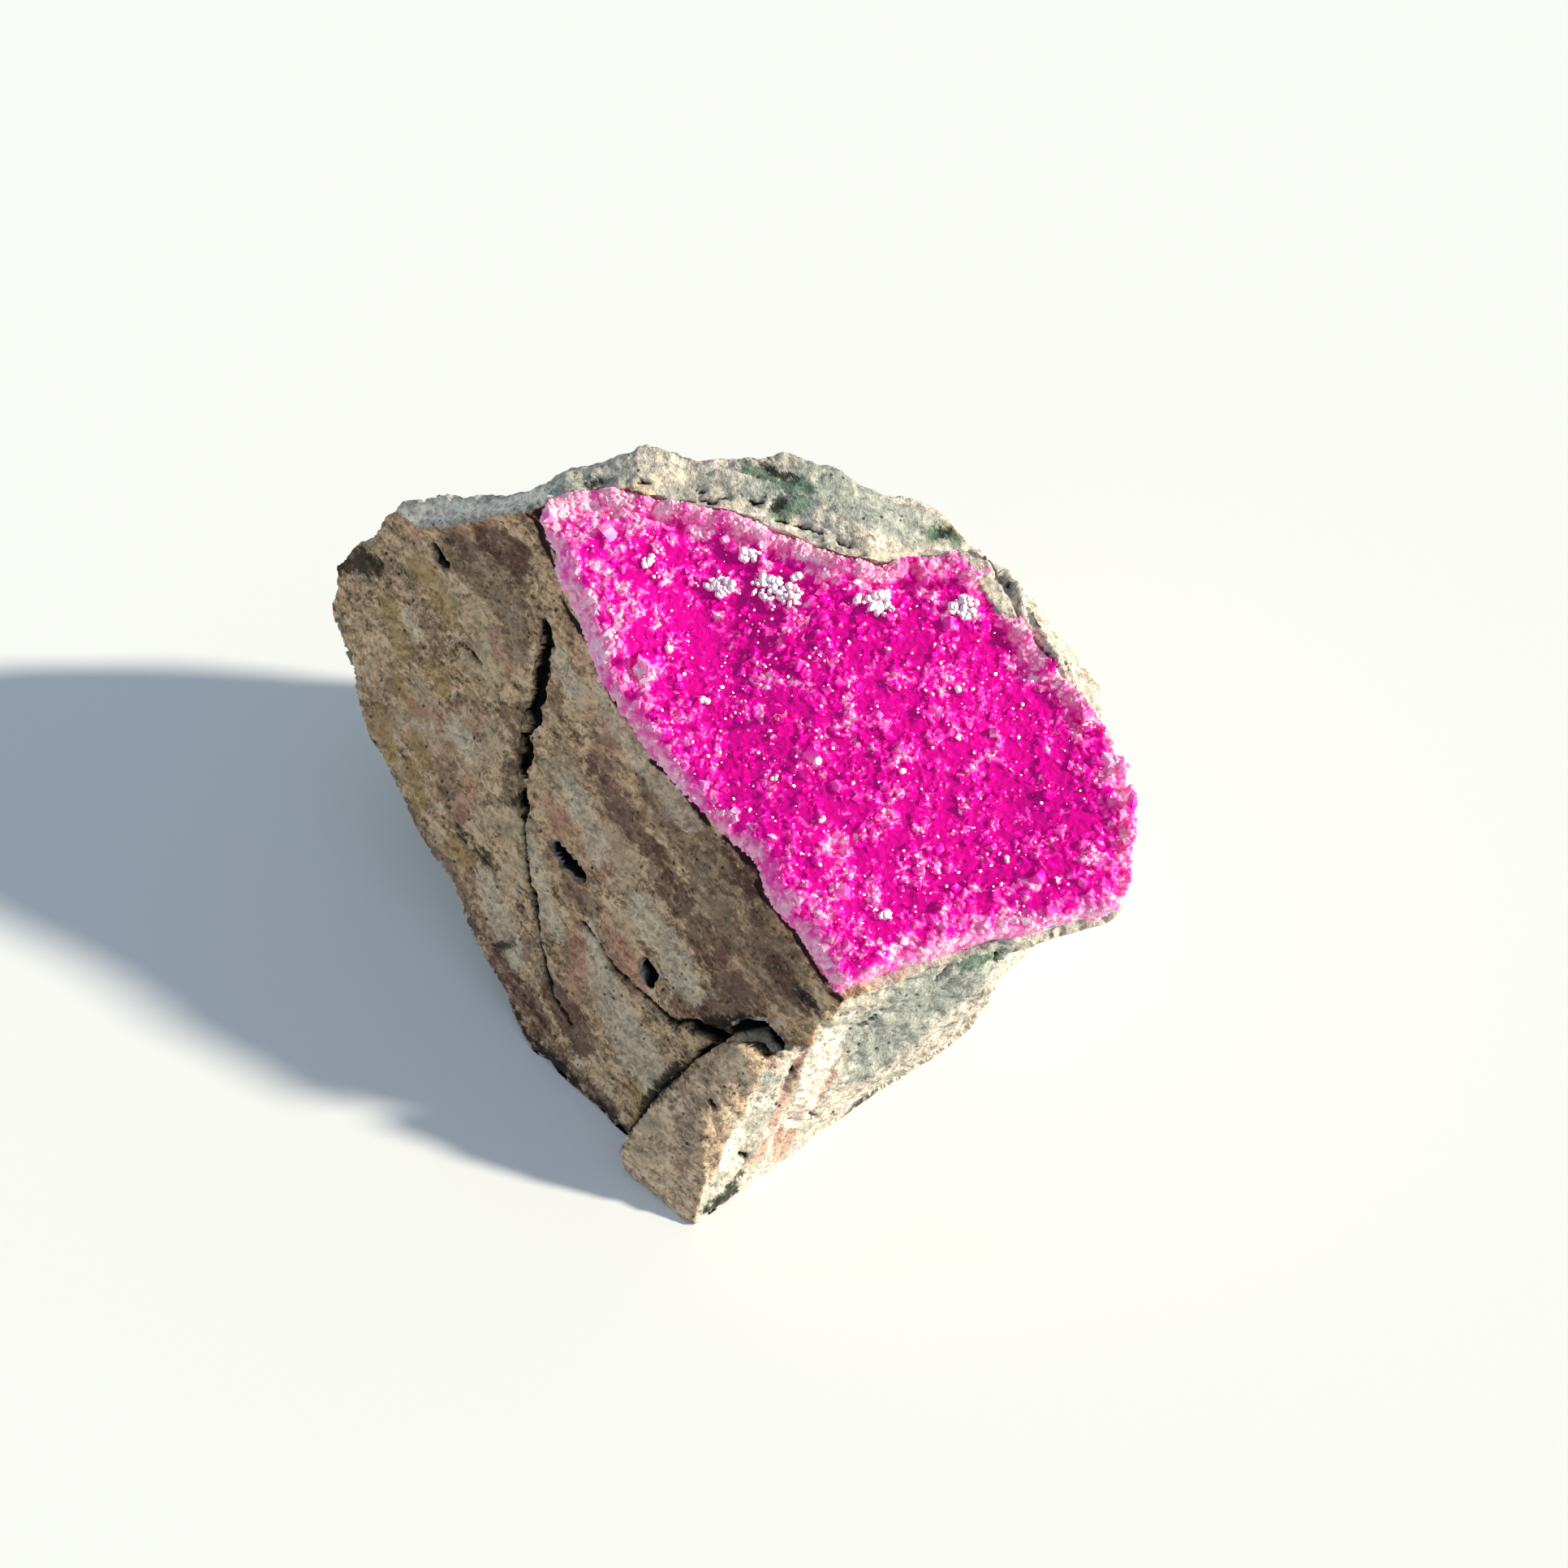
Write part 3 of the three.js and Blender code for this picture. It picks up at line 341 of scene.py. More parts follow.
# Where the rock's other faces are stained, and where shade and light are painted on them.
FAR_STAINS = {
    "salmon": (
        ((988, 1306, 6), (978, 1336, 9), (966, 1362, 8), (954, 1388, 9)),
        ((952, 1400, 12), (940, 1418, 14), (930, 1432, 8)),
        ((1020, 1330, 24), (992, 1370, 30), (964, 1418, 26)),
        ((908, 1290, 16), (930, 1300, 24), (950, 1312, 18)),
        ((1143, 672, 6), (1148, 678, 5)),
        ((1280, 880, 6), (1340, 830, 8)),
    ),
    "maroon": (
        ((610, 1190, 26), (632, 1232, 40), (652, 1270, 40), (680, 1306, 34)),
        ((1002, 1292, 6), (992, 1308, 7), (985, 1324, 5)),
        ((656, 622, 5), (663, 636, 7)),
        ((1075, 712, 3), (1092, 716, 4), (1110, 720, 3)),
        ((1172, 648, 5), (1186, 664, 5)),
    ),
    "ochre": (
        ((1376, 1106, 10), (1388, 1114, 8)),
        ((1164, 645, 5), (1175, 652, 5)),
        ((600, 632, 10), (560, 640, 10)),
        ((776, 1400, 14), (800, 1440, 18)),
    ),
    "pale": (
        # The first two rows are painted light on the band along the top edge, which lies in shade; the
        # others are paler rock.
        ((520, 632, 10), (560, 630, 14), (600, 622, 14)),
        ((630, 612, 8), (660, 606, 9)),
        ((1005, 1262, 24), (1030, 1250, 24), (1050, 1236, 16)),
        ((1176, 716, 16), (1215, 760, 22), (1252, 812, 18)),
        ((920, 650, 12), (990, 670, 14), (1060, 696, 12)),
        ((780, 600, 14), (850, 580, 16)),
    ),
    # Near-white: the first row is painted light on the band along the top edge, which lies in shade; the
    # other rows whiten the wedge's right side and the front face.
    "chalk": (
        ((486, 640, 10), (520, 632, 16), (560, 628, 22), (620, 618, 24), (690, 602, 20)),
        ((920, 1336, 12), (906, 1390, 18), (894, 1440, 12)),
        ((1024, 1280, 30), (1006, 1330, 34), (984, 1384, 26)),
    ),
    "verdigris": (
        ((922, 574, 10), (945, 582, 14), (972, 590, 14), (996, 602, 10)),
        ((1148, 656, 10), (1165, 650, 12), (1182, 670, 9)),
        ((956, 630, 12), (990, 618, 12)),
        ((1262, 775, 9), (1272, 792, 10), (1280, 806, 7)),
        ((420, 690, 14), (440, 690, 18), (458, 705, 14)),
        ((1190, 1192, 14), (1230, 1180, 12)),
        ((870, 1490, 8), (905, 1466, 8)),
    ),
    "slate": (
        ((1058, 1316, 30), (1092, 1272, 84), (1150, 1224, 90), (1214, 1186, 60)),
        ((1056, 1336, 20), (1090, 1306, 30)),
        ((930, 598, 26), (965, 606, 30), (996, 622, 22)),
        ((1100, 636, 20), (1130, 652, 22)),
        ((690, 602, 16), (728, 596, 18), (752, 588, 12)),
        ((945, 1328, 14), (962, 1336, 12)),
        ((1222, 760, 10), (1244, 790, 14), (1262, 812, 12)),
        ((820, 620, 14), (880, 640, 14)),
        ((1000, 586, 50), (1070, 616, 60), (1130, 648, 50)),
    ),
    # Near-black: mostly painted shade on the shaded far corner, at the wedge's foot and in small holes; a
    # few are small black specks.
    "soot": (
        ((420, 690, 22), (440, 684, 28), (458, 688, 18)),
        ((452, 712, 8), (458, 722, 7)),
        ((724, 597, 7), (736, 592, 6)),
        ((905, 1470, 8), (890, 1480, 9), (872, 1492, 7)),
        ((914, 1450, 7), (902, 1464, 6)),
        ((952, 625, 5), (968, 610, 6)),
        ((1262, 772, 4), (1255, 768, 3)),
        ((940, 570, 5), (956, 580, 6), (978, 588, 5)),
        ((1156, 648, 3), (1162, 656, 3), (1170, 652, 3)),
    ),
}

# ---------------------------------------------------------------- the druse, across and up its plane

# Where the druse is deep magenta, and where it is pale: across, up, radius, strength.
DEEP_SPOTS = (
    (-8.3, 7.5, 2.3, 1.0), (-7.2, 4.2, 1.5, 0.8), (-6.0, -0.3, 1.6, 0.9), (-6.5, -2.8, 1.2, 0.7),
    (-3.0, 0.6, 1.0, 0.7), (-13.3, 12.5, 1.2, 0.6), (-10.5, 13.0, 1.1, 0.6), (0.0, 8.0, 1.2, 0.6),
    (2.0, 6.5, 1.1, 0.6), (4.0, 6.0, 1.0, 0.6), (8.3, 6.5, 1.4, 0.9), (10.0, 4.5, 1.4, 0.8),
    (12.0, 2.2, 1.5, 0.7), (13.5, 0.0, 1.3, 0.7), (13.0, -2.0, 1.1, 0.6), (3.5, 1.5, 0.9, 0.7),
    (6.0, -3.2, 1.3, 0.8), (10.5, -4.0, 1.4, 1.0), (11.0, -1.0, 0.9, 0.7), (4.0, -9.5, 1.2, 0.7),
    (8.0, -7.0, 1.1, 0.6), (-9.6, 9.8, 1.2, 0.7),
)
PALE_SPOTS = (
    (-14.2, 7.4, 1.8, 1.0), (-9.5, 0.0, 1.2, 0.7), (-3.5, 3.0, 1.0, 0.8), (-1.5, 4.0, 1.1, 0.7),
    (1.5, 2.0, 1.1, 0.6), (6.0, 2.0, 1.1, 0.6), (7.0, 6.0, 1.0, 0.6), (2.5, -3.5, 1.3, 0.7),
    (0.0, 10.5, 2.2, 0.6), (-15.0, 12.5, 2.6, 0.6), (7.5, 10.8, 1.8, 0.7), (-5.0, 12.6, 2.0, 0.4),
    (-12.6, 4.6, 1.6, 0.5), (-7.0, -5.5, 1.4, 0.4), (14.5, -8.0, 1.5, 0.4),
)

GLINT_WIDTH = 0.00027  # in metres
GLINTS_IN_A_SPOT = 0.09  # for each square of the spot's radius
STRAY_GLINTS = 900
DRUSE_SPAN = (670, 620, 1380, 1200)  # left, top, right and bottom in the fixed view
# Where crystals stand parallel and mirror the key light: across and down the fixed view, and radius.
GLINT_SPOTS = (
    (800, 690, 10), (925, 685, 13), (890, 722, 18), (945, 725, 20), (975, 735, 16), (1085, 746, 17),
    (1188, 750, 19), (868, 862, 7), (985, 712, 7), (826, 800, 6), (1060, 742, 8), (1010, 940, 4),
    (1115, 950, 4), (1090, 1130, 6), (955, 960, 4), (1240, 1060, 4), (1010, 1010, 5), (1180, 850, 4),
)


# ---------------------------------------------------------------- points, views and noise


def smoothstep(low, high, value):
    """0 at low and 1 at high, with a smooth way between. Low may be the larger one."""
    t = np.clip((value - low) / (high - low), 0.0, 1.0)
    return t * t * (3.0 - 2.0 * t)


def view_axes():
    """The fixed view's place, and its right, up and forward directions."""
    forward = np.array((0.0, math.cos(VIEW_RISE), -math.sin(VIEW_RISE)))
    up = np.array((0.0, math.sin(VIEW_RISE), math.cos(VIEW_RISE)))
    right = np.array((1.0, 0.0, 0.0))
    return np.array(VIEW_TARGET) - VIEW_DISTANCE * forward, right, up, forward


def view_ray(across, down):
    """The ray through a pixel of the fixed view."""
    eye, right, up, forward = view_axes()
    focal = VIEW_PIXELS / 2 / math.tan(FIELD_OF_VIEW / 2)
    ray = forward * focal + right * (across - VIEW_PIXELS / 2) - up * (down - VIEW_PIXELS / 2)
    return eye, ray / np.linalg.norm(ray)


def left_face_axes():
    """The directions across, up and out of the left face."""
    return np.array((LEFT_FACE_ACROSS, LEFT_FACE_UP, LEFT_FACE_OUT))


def on_left_face(points):
    """How far each point is across, up and out of the left face."""
    return (points - np.array(LEFT_FACE_FOOT)) @ left_face_axes().T


def druse_axes():
    """The directions across, up and out of the druse's plane."""
    cos, sin = math.cos(DRUSE_TILT), math.sin(DRUSE_TILT)
    return np.array(((1.0, 0.0, 0.0), (0.0, cos, sin), (0.0, -sin, cos)))


def on_druse(points):
    """How far each point is across, up and out of the druse's plane."""
    return (points - np.array(DRUSE_MIDDLE)) @ druse_axes().T


def left_face_row(row):
    """A row of pixels as points across and up the left face, with half the width at each."""
    out = np.array(LEFT_FACE_OUT)
    found = []
    for across, down, width in row:
        eye, ray = view_ray(across, down)
        hit = eye + ray * (out @ (np.array(LEFT_FACE_FOOT) - eye)) / (out @ ray)
        face = on_left_face(hit)
        found.append((face[0], face[1], width / 2 / PIXELS_PER_MM))
    return np.array(found)


def surface_row(row, tree):
    """A row of pixels as points on a surface, with half the width at each."""
    found = []
    for across, down, width in row:
        eye, ray = view_ray(across, down)
        hit = tree.ray_cast(Vector(eye), Vector(ray))[0]
        if hit is not None:
            found.append((*hit, width / 2 / PIXELS_PER_MM))
    return np.array(found)


def outside_row(points, row):
    """How far each point is outside a row of discs joined up, and less than nothing inside."""
    nearest = np.full(len(points), 1e9)
    for start, end in zip(row[:-1], row[1:]):
        along = end[:-1] - start[:-1]
        t = np.clip((points - start[:-1]) @ along / max(along @ along, 1e-9), 0.0, 1.0)
        gap = np.linalg.norm(points - start[:-1] - t[:, None] * along, axis=1)
        nearest = np.minimum(nearest, gap - (start[-1] + t * (end[-1] - start[-1])))
    return nearest


def noise_at(points, size, octaves=1, shift=0.0):
    """Smooth noise, about -1 to 1."""
    places = points / size + shift
    return np.array([noise.fractal(Vector(p), 1.0, 2.0, octaves) for p in places.tolist()])


def cells_at(points, size, shift=0.0):
    """How far each point is from its cell's middle, and from the next cell, in cell sizes."""
    places = points / size + shift
    gaps = np.array([noise.voronoi(Vector(p))[0][:2] for p in places.tolist()])
    return gaps[:, 0], gaps[:, 1] - gaps[:, 0]


# ---------------------------------------------------------------- meshes


def solid_copy(node, name):
    """A CAD node's mesh as a new object, in millimetres, with its loose triangles joined."""
    mesh = frame["nodes"][node].data.copy()
    mesh.materials.clear()
    mesh.transform(Matrix.Scale(1 / MM, 4))
    work = bmesh.new()
    work.from_mesh(mesh)
    bmesh.ops.remove_doubles(work, verts=work.verts, dist=1e-4)
    work.to_mesh(mesh)
    work.free()
    copy = bpy.data.objects.new(name, mesh)
    bpy.context.scene.collection.objects.link(copy)
    return copy


def settle(carrier, name):
    """What an object's modifiers make of it, as a plain mesh on a new object. The old one goes."""
    seen = carrier.evaluated_get(bpy.context.evaluated_depsgraph_get())
    mesh = bpy.data.meshes.new_from_object(seen)
    bpy.data.objects.remove(carrier)
    mesh.name = name
    made = bpy.data.objects.new(name, mesh)
    bpy.context.scene.collection.objects.link(made)
    return made


def finely_meshed(node, name, voxel, hidden_share):
    """A node's solid with a fine, even mesh, which is thinned out where the underside is."""
    carrier = solid_copy(node, name + "_carrier")
    remesh = carrier.modifiers.new("Fine skin", "REMESH")
    remesh.mode = "VOXEL"
    remesh.voxel_size = voxel
    carrier = settle(carrier, name + "_carrier")
    facing = relaxed(carrier.data, normals_of(carrier.data), 6)[:, 2]
    group = carrier.vertex_groups.new(name="underside")
    group.add(np.flatnonzero(facing < -0.4).tolist(), 1.0, "REPLACE")
    thin_out = carrier.modifiers.new("Underside", "DECIMATE")
    thin_out.vertex_group = group.name
    thin_out.vertex_group_factor = 1.0
    thin_out.ratio = 1 - hidden_share
    return settle(carrier, name)


def surface_tree(node):
    """A CAD node's surface, in millimetres, to find near points and hits on."""
    solid = solid_copy(node, node + "_surface")
    places = [v.co.copy() for v in solid.data.vertices]
    tree = BVHTree.FromPolygons(places, [tuple(face.vertices) for face in solid.data.polygons])
    bpy.data.objects.remove(solid)
    return tree


def places_of(mesh):
    places = np.empty(len(mesh.vertices) * 3)
    mesh.vertices.foreach_get("co", places)
    return places.reshape(-1, 3)


def normals_of(mesh):
    normals = np.empty(len(mesh.vertices) * 3, np.float32)
    mesh.vertex_normals.foreach_get("vector", normals)
    return normals.reshape(-1, 3).astype(float)


def move_to(mesh, places):
    mesh.vertices.foreach_set("co", places.astype(np.float32).ravel())
    mesh.update()


def edge_ends(mesh):
    """The two corners of each of the mesh's edges."""
    ends = np.empty(len(mesh.edges) * 2, np.int32)
    mesh.edges.foreach_get("vertices", ends)
    return ends.reshape(-1, 2).T


def relaxed(mesh, values, rounds, amount=0.5):
    """The values of the mesh's corners, evened out along its edges."""
    a, b = edge_ends(mesh)
    count = len(mesh.vertices)
    degree = np.maximum(np.bincount(a, minlength=count) + np.bincount(b, minlength=count), 1)
    values = values.copy()
    for _ in range(rounds):
        total = np.empty_like(values)
        for k in range(values.shape[1]):
            column = values[:, k]
            total[:, k] = np.bincount(a, column[b], count) + np.bincount(b, column[a], count)
        values += amount * (total / degree[:, None] - values)
    return values


def thinned_out(mesh):
    """How far each corner is among the long faces of the thinned-out underside, from 0 to 1."""
    a, b = edge_ends(mesh)
    places = places_of(mesh)
    lengths = np.linalg.norm(places[a] - places[b], axis=1)
    longest = np.zeros(len(places))
    np.maximum.at(longest, a, lengths)
    np.maximum.at(longest, b, lengths)
    share = smoothstep(1.9, 2.6, longest / np.median(lengths))[:, None]
    return np.maximum(share, relaxed(mesh, share, 4))[:, 0]


def keep_values(mesh, name, values):
    """Keeps a value for each corner as an attribute."""
    layer = mesh.attributes.new(name, "FLOAT", "POINT")
    layer.data.foreach_set("value", values.astype(np.float32))


def finish_piece(piece, node=None, smooth=True):
    """Puts a piece made in millimetres into the frame, on its body, and hides the solid's node that it
    replaces.
    """
    piece.data.transform(Matrix.Scale(MM, 4))
    if smooth:
        piece.data.shade_smooth()
    else:
        piece.data.shade_flat()
    piece.data.update()
    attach(piece, "root")
    if node:
        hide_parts(node)
    return piece


def inside_cad_box(places):
    """The places, in millimetres, with none outside the solid model's box."""
    low, high = (np.array(corner) / MM for corner in CAD_BOX)
    return np.clip(places, low, high)


# ---------------------------------------------------------------- materials


class Shades:
    """Adds nodes to a new material, one call for each."""

    def __init__(self, name):
        self.material = bpy.data.materials.new(name)
        self.material.use_nodes = True
        self.tree = self.material.node_tree
        self.shader = self.tree.nodes["Principled BSDF"]

    def put(self, socket, value):
        """Links another node's output to a socket, or sets a plain value on it."""
        if isinstance(value, bpy.types.NodeSocket):
            self.tree.links.new(value, socket)
        elif isinstance(value, (tuple, list)) and len(socket.default_value) == 4:
            socket.default_value = (*value[:3], 1.0)
        else:
            socket.default_value = value

    def node(self, kind, inputs=(), **settings):
        """Adds a node with its inputs and its own settings."""
        made = self.tree.nodes.new(kind)
        for key, value in settings.items():
            setattr(made, key, value)
        for key, value in dict(inputs).items():
            self.put(made.inputs[key], value)
        return made

    def places(self):
        """The piece's own coordinates."""
        return self.node("ShaderNodeTexCoord").outputs["Object"]

    def value(self, name):
        """A value that the mesh keeps for its corners."""
        return self.node("ShaderNodeAttribute", attribute_name=name).outputs["Fac"]

    def math(self, operation, a, b=0.0, clamp=False):
        made = self.node("ShaderNodeMath", operation=operation, use_clamp=clamp)
        self.put(made.inputs[0], a)
        self.put(made.inputs[1], b)
        return made.outputs[0]

    def dot(self, vector, direction):
        made = self.node("ShaderNodeVectorMath", operation="DOT_PRODUCT")
        self.put(made.inputs[0], vector)
        self.put(made.inputs[1], direction)
        return made.outputs["Value"]

    def noise(self, places, size, detail=3.0, roughness=0.55, distortion=0.0):
        """Noise with features about as wide as size, in millimetres."""
        inputs = {
            "Vector": places,
            "Scale": 0.5 / (size * MM),
            "Detail": detail,
            "Roughness": roughness,
            "Distortion": distortion,
        }
        return self.node("ShaderNodeTexNoise", inputs).outputs["Fac"]

    def cells(self, places, size):
        """How far each place is from its cell's middle, in cell sizes."""
        inputs = {"Vector": places, "Scale": 1 / (size * MM)}
        return self.node("ShaderNodeTexVoronoi", inputs, feature="F1").outputs["Distance"]

    def mosaic(self, places, size):
        """A chance value for each grain of about this size."""
        inputs = {"Vector": places, "Scale": 1 / (size * MM)}
        colour = self.node("ShaderNodeTexVoronoi", inputs, feature="F1").outputs["Color"]
        return self.node("ShaderNodeSeparateColor", {"Color": colour}).outputs["Red"]

    def span(self, value, low, high, to_low=0.0, to_high=1.0, smooth=True):
        """A value carried over from one range to another, and held at the ends."""
        kind = "SMOOTHSTEP" if smooth else "LINEAR"
        inputs = {"Value": value, "From Min": low, "From Max": high, "To Min": to_low, "To Max": to_high}
        return self.node("ShaderNodeMapRange", inputs, interpolation_type=kind).outputs["Result"]

    def ramp(self, value, stops):
        """A colour picked by the value from stops of a place and a colour."""
        made = self.node("ShaderNodeValToRGB", {"Fac": value})
        elements = made.color_ramp.elements
        while len(elements) < len(stops):
            elements.new(0.5)
        for element, (place, colour) in zip(elements, stops):
            element.position = place
            element.color = (*colour, 1.0)
        return made.outputs["Color"]

    def blend(self, factor, below, above, mode="MIX"):
        made = self.node("ShaderNodeMix", data_type="RGBA", blend_type=mode)
        self.put(made.inputs[0], factor)
        self.put(made.inputs[6], below)
        self.put(made.inputs[7], above)
        return made.outputs[2]

    def bump(self, height, distance, strength=1.0, under=None):
        inputs = {"Height": height, "Distance": distance * MM, "Strength": strength}
        if under is not None:
            inputs["Normal"] = under
        return self.node("ShaderNodeBump", inputs).outputs["Normal"]


def rgb(red, green, blue):
    """A colour given as screen values from 0 to 255, in linear light."""
    parts = [c / 255 for c in (red, green, blue)]
    return tuple(c / 12.92 if c <= 0.04045 else ((c + 0.055) / 1.055) ** 2.4 for c in parts)


def dimmed(colour, amount):
    """A colour made darker, or lighter where the amount is over 1."""
    return tuple(c * amount for c in colour)


# A painted glow: the tint of an emission that stands in for the light the crystals pass on from inside.
PAINTED_GLOW_TINT = rgb(255, 200, 200)

# What stains the rock or paints shade and light on it, its colour and how much of it shows.
STAIN_COLOURS = (
    ("ochre", rgb(176, 140, 78), 0.6),
    ("salmon", rgb(196, 136, 112), 0.58),
    ("umber", rgb(92, 72, 58), 0.55),
    ("maroon", rgb(88, 50, 44), 0.72),
    ("pale", rgb(230, 212, 180), 0.62),
    # Near-white, partly painted light on the shaded band along the top edge.
    ("chalk", rgb(255, 244, 224), 0.72),
    ("slate", rgb(150, 158, 148), 0.75),
    ("verdigris", rgb(74, 108, 84), 0.8),
    # Near-black, mostly painted shade, partly small black specks.
    ("soot", rgb(26, 24, 20), 0.88),
)


def rock_material(settings):
    """Tan, streaky rock on the left face and cream to grey granular rock elsewhere, with its stains,
    painted shade and painted light.
    """
    s = Shades("host rock")
    places = s.places()
    tan, cream = tuple(settings.tan_colour), tuple(settings.cream_colour)

    # Streaks: noise that is stretched along the left face's grain.
    across, up, out = left_face_axes()
    along = math.cos(GRAIN_SLANT) * across + math.sin(GRAIN_SLANT) * up
    aside = -math.sin(GRAIN_SLANT) * across + math.cos(GRAIN_SLANT) * up
    grain = s.node("ShaderNodeCombineXYZ")
    s.put(grain.inputs["X"], s.math("MULTIPLY", s.dot(places, tuple(along)), 0.45))
    s.put(grain.inputs["Y"], s.dot(places, tuple(aside)))
    s.put(grain.inputs["Z"], s.dot(places, tuple(out)))
    grain = grain.outputs[0]

    fine = s.noise(places, 0.11, 3.0, 0.7)
    grains = s.noise(places, 0.30, 4.0, 0.7)
    streaks = s.noise(grain, 0.34, 4.0, 0.7)
    patches = s.noise(places, 1.7, 4.0, 0.65)
    broad = s.noise(places, 4.5, 3.0, 0.6)

    chance = s.math("MULTIPLY", s.math("SUBTRACT", s.mosaic(grain, 0.20), 0.5), 0.10)
    larger = s.math("MULTIPLY", s.math("SUBTRACT", s.mosaic(places, 0.36), 0.5), 0.09)
    chance = s.math("ADD", chance, larger)

    # The left face: brown, with lighter grains, paler and pinker patches.
    mix = s.math("ADD", s.math("MULTIPLY", streaks, 0.6), s.math("MULTIPLY", fine, 0.4))
    mix = s.math("ADD", mix, chance)
    left = s.ramp(
        mix,
        (
            (0.34, dimmed(tan, 0.14)),
            (0.42, dimmed(tan, 0.46)),
            (0.50, tan),
            (0.58, dimmed(tan, 1.55)),
            (0.66, rgb(236, 224, 202)),
        ),
    )
    left = s.blend(s.span(patches, 0.50, 0.62, 0.0, 0.45), left, rgb(212, 190, 154))
    left = s.blend(s.span(patches, 0.36, 0.46, 0.55, 0.0), left, rgb(122, 90, 72))
    left = s.blend(s.span(broad, 0.48, 0.62, 0.0, 0.30), left, rgb(186, 136, 112))

    # Granular rock: cream, with grey and rusty patches.
    mix = s.math("ADD", s.math("MULTIPLY", grains, 0.6), s.math("MULTIPLY", fine, 0.4))
    mix = s.math("ADD", mix, chance)
    other = s.ramp(
        mix,
        (
            (0.34, dimmed(cream, 0.30)),
            (0.42, dimmed(cream, 0.64)),
            (0.50, cream),
            (0.58, dimmed(cream, 1.25)),
            (0.68, rgb(250, 248, 238)),
        ),
    )
    other = s.blend(s.span(patches, 0.50, 0.62, 0.0, 0.50), other, rgb(168, 164, 148))
    other = s.blend(s.span(patches, 0.34, 0.45, 0.50, 0.0), other, rgb(204, 182, 156))
    colour = s.blend(s.value("left"), other, left)

    # Stains, painted shade and painted light, with their borders broken up.
    ragged = s.math("SUBTRACT", s.noise(places, 1.3, 5.0, 0.75), 0.5)
    speckled = s.math("SUBTRACT", s.noise(grain, 0.20, 4.0, 0.8), 0.5)
    for name, stain, strength in STAIN_COLOURS:
        reach = s.math("ADD", s.value(name), s.math("MULTIPLY", ragged, 1.7))
        reach = s.math("ADD", reach, s.math("MULTIPLY", speckled, 3.0))
        grained = s.blend(1.0, stain, s.span(mix, 0.36, 0.62, 0.35, 1.7), "MULTIPLY")
        tinted = s.blend(0.45, stain, grained)
        colour = s.blend(s.span(reach, 0.35, 0.95, 0.0, strength), colour, tinted)

    # Tiny dark specks and longer flecks.
    specks = s.span(s.cells(places, 0.85), 0.11, 0.17, 1.0, 0.0)
    specks = s.math("MULTIPLY", specks, s.span(s.noise(places, 1.3), 0.47, 0.53))
    colour = s.blend(s.math("MULTIPLY", specks, 0.85), colour, rgb(46, 36, 30))
    flecks = s.span(s.cells(grain, 0.42), 0.12, 0.20, 1.0, 0.0)
    flecks = s.math("MULTIPLY", flecks, s.span(s.noise(places, 0.9), 0.50, 0.58))
    colour = s.blend(s.math("MULTIPLY", flecks, 0.6), colour, rgb(66, 50, 40))

    colour = s.blend(s.span(s.value("seam"), 0.15, 0.85), colour, rgb(44, 18, 18))
    # Painted shade: near-black in the clefts, pits, hollows and crevices.
    colour = s.blend(s.span(s.value("cleft"), 0.15, 0.70), colour, rgb(11, 9, 8))
    s.put(s.shader.inputs["Base Color"], colour)
    s.put(s.shader.inputs["Roughness"], s.span(grains, 0.3, 0.7, 0.95, 0.7, smooth=False))
    s.put(s.shader.inputs["Specular IOR Level"], 0.3)
    rough = s.bump(grains, 0.18, 0.9)
    rough = s.bump(fine, 0.065, 0.9, rough)
    rough = s.bump(streaks, 0.12, 0.6, rough)
    s.put(s.shader.inputs["Normal"], rough)
    return s.material


def calcite_material(name, settings, glow):
    """Translucent pink calcite: deep magenta inside and low down, pale at the tips and broken edges, with a
    faint painted glow.
    """
    s = Shades(name)
    places = s.places()
    deep, pink = tuple(settings.deep_colour), tuple(settings.pink_colour)
    pale = tuple(settings.pale_colour)
    cloud = s.noise(places, 0.75, 4.0, 0.7)
    frost = s.noise(places, 0.20, 3.0, 0.7)
    frosted = s.math("MULTIPLY", s.span(cloud, 0.49, 0.60), s.span(frost, 0.44, 0.60, 0.15, 1.0))
    paleness = s.math("ADD", s.value("pale"), s.math("MULTIPLY", s.math("SUBTRACT", frosted, 0.28), 0.75))
    paleness = s.math("ADD", paleness, s.math("MULTIPLY", s.math("SUBTRACT", s.value("tip"), 0.5), 0.55))
    paleness = s.math("ADD", paleness, s.math("MULTIPLY", s.math("SUBTRACT", s.value("tone"), 0.5), 0.35))
    colour = s.ramp(
        paleness,
        (
            (0.04, deep),
            (0.28, pink),
            (0.56, tuple(0.62 * a + 0.38 * b for a, b in zip(pink, pale))),
            (0.82, pale),
            (1.00, rgb(255, 208, 230)),
        ),
    )
    colour = s.blend(s.math("MULTIPLY", s.value("husk"), 0.75), colour, rgb(255, 196, 214))
    s.put(s.shader.inputs["Base Color"], colour)
    s.put(s.shader.inputs["Roughness"], s.span(frost, 0.40, 0.62, 0.10, 0.38))
    s.put(s.shader.inputs["IOR"], CALCITE_INDEX)
    s.put(s.shader.inputs["Specular IOR Level"], CALCITE_GLOSS)
    s.put(s.shader.inputs["Subsurface Weight"], glow)
    s.put(s.shader.inputs["Subsurface Radius"], GLOW_RADIUS)
    s.put(s.shader.inputs["Subsurface Scale"], GLOW_DEPTH)
    # Painted glow: a faint emission in the crystals' own colour.
    s.put(s.shader.inputs["Emission Color"], s.blend(1.0, colour, PAINTED_GLOW_TINT, "MULTIPLY"))
    s.put(s.shader.inputs["Emission Strength"], PAINTED_GLOW_STRENGTH)
    s.put(s.shader.inputs["Normal"], s.bump(s.noise(places, 0.14, 2.0), 0.02, 0.4))
    return s.material


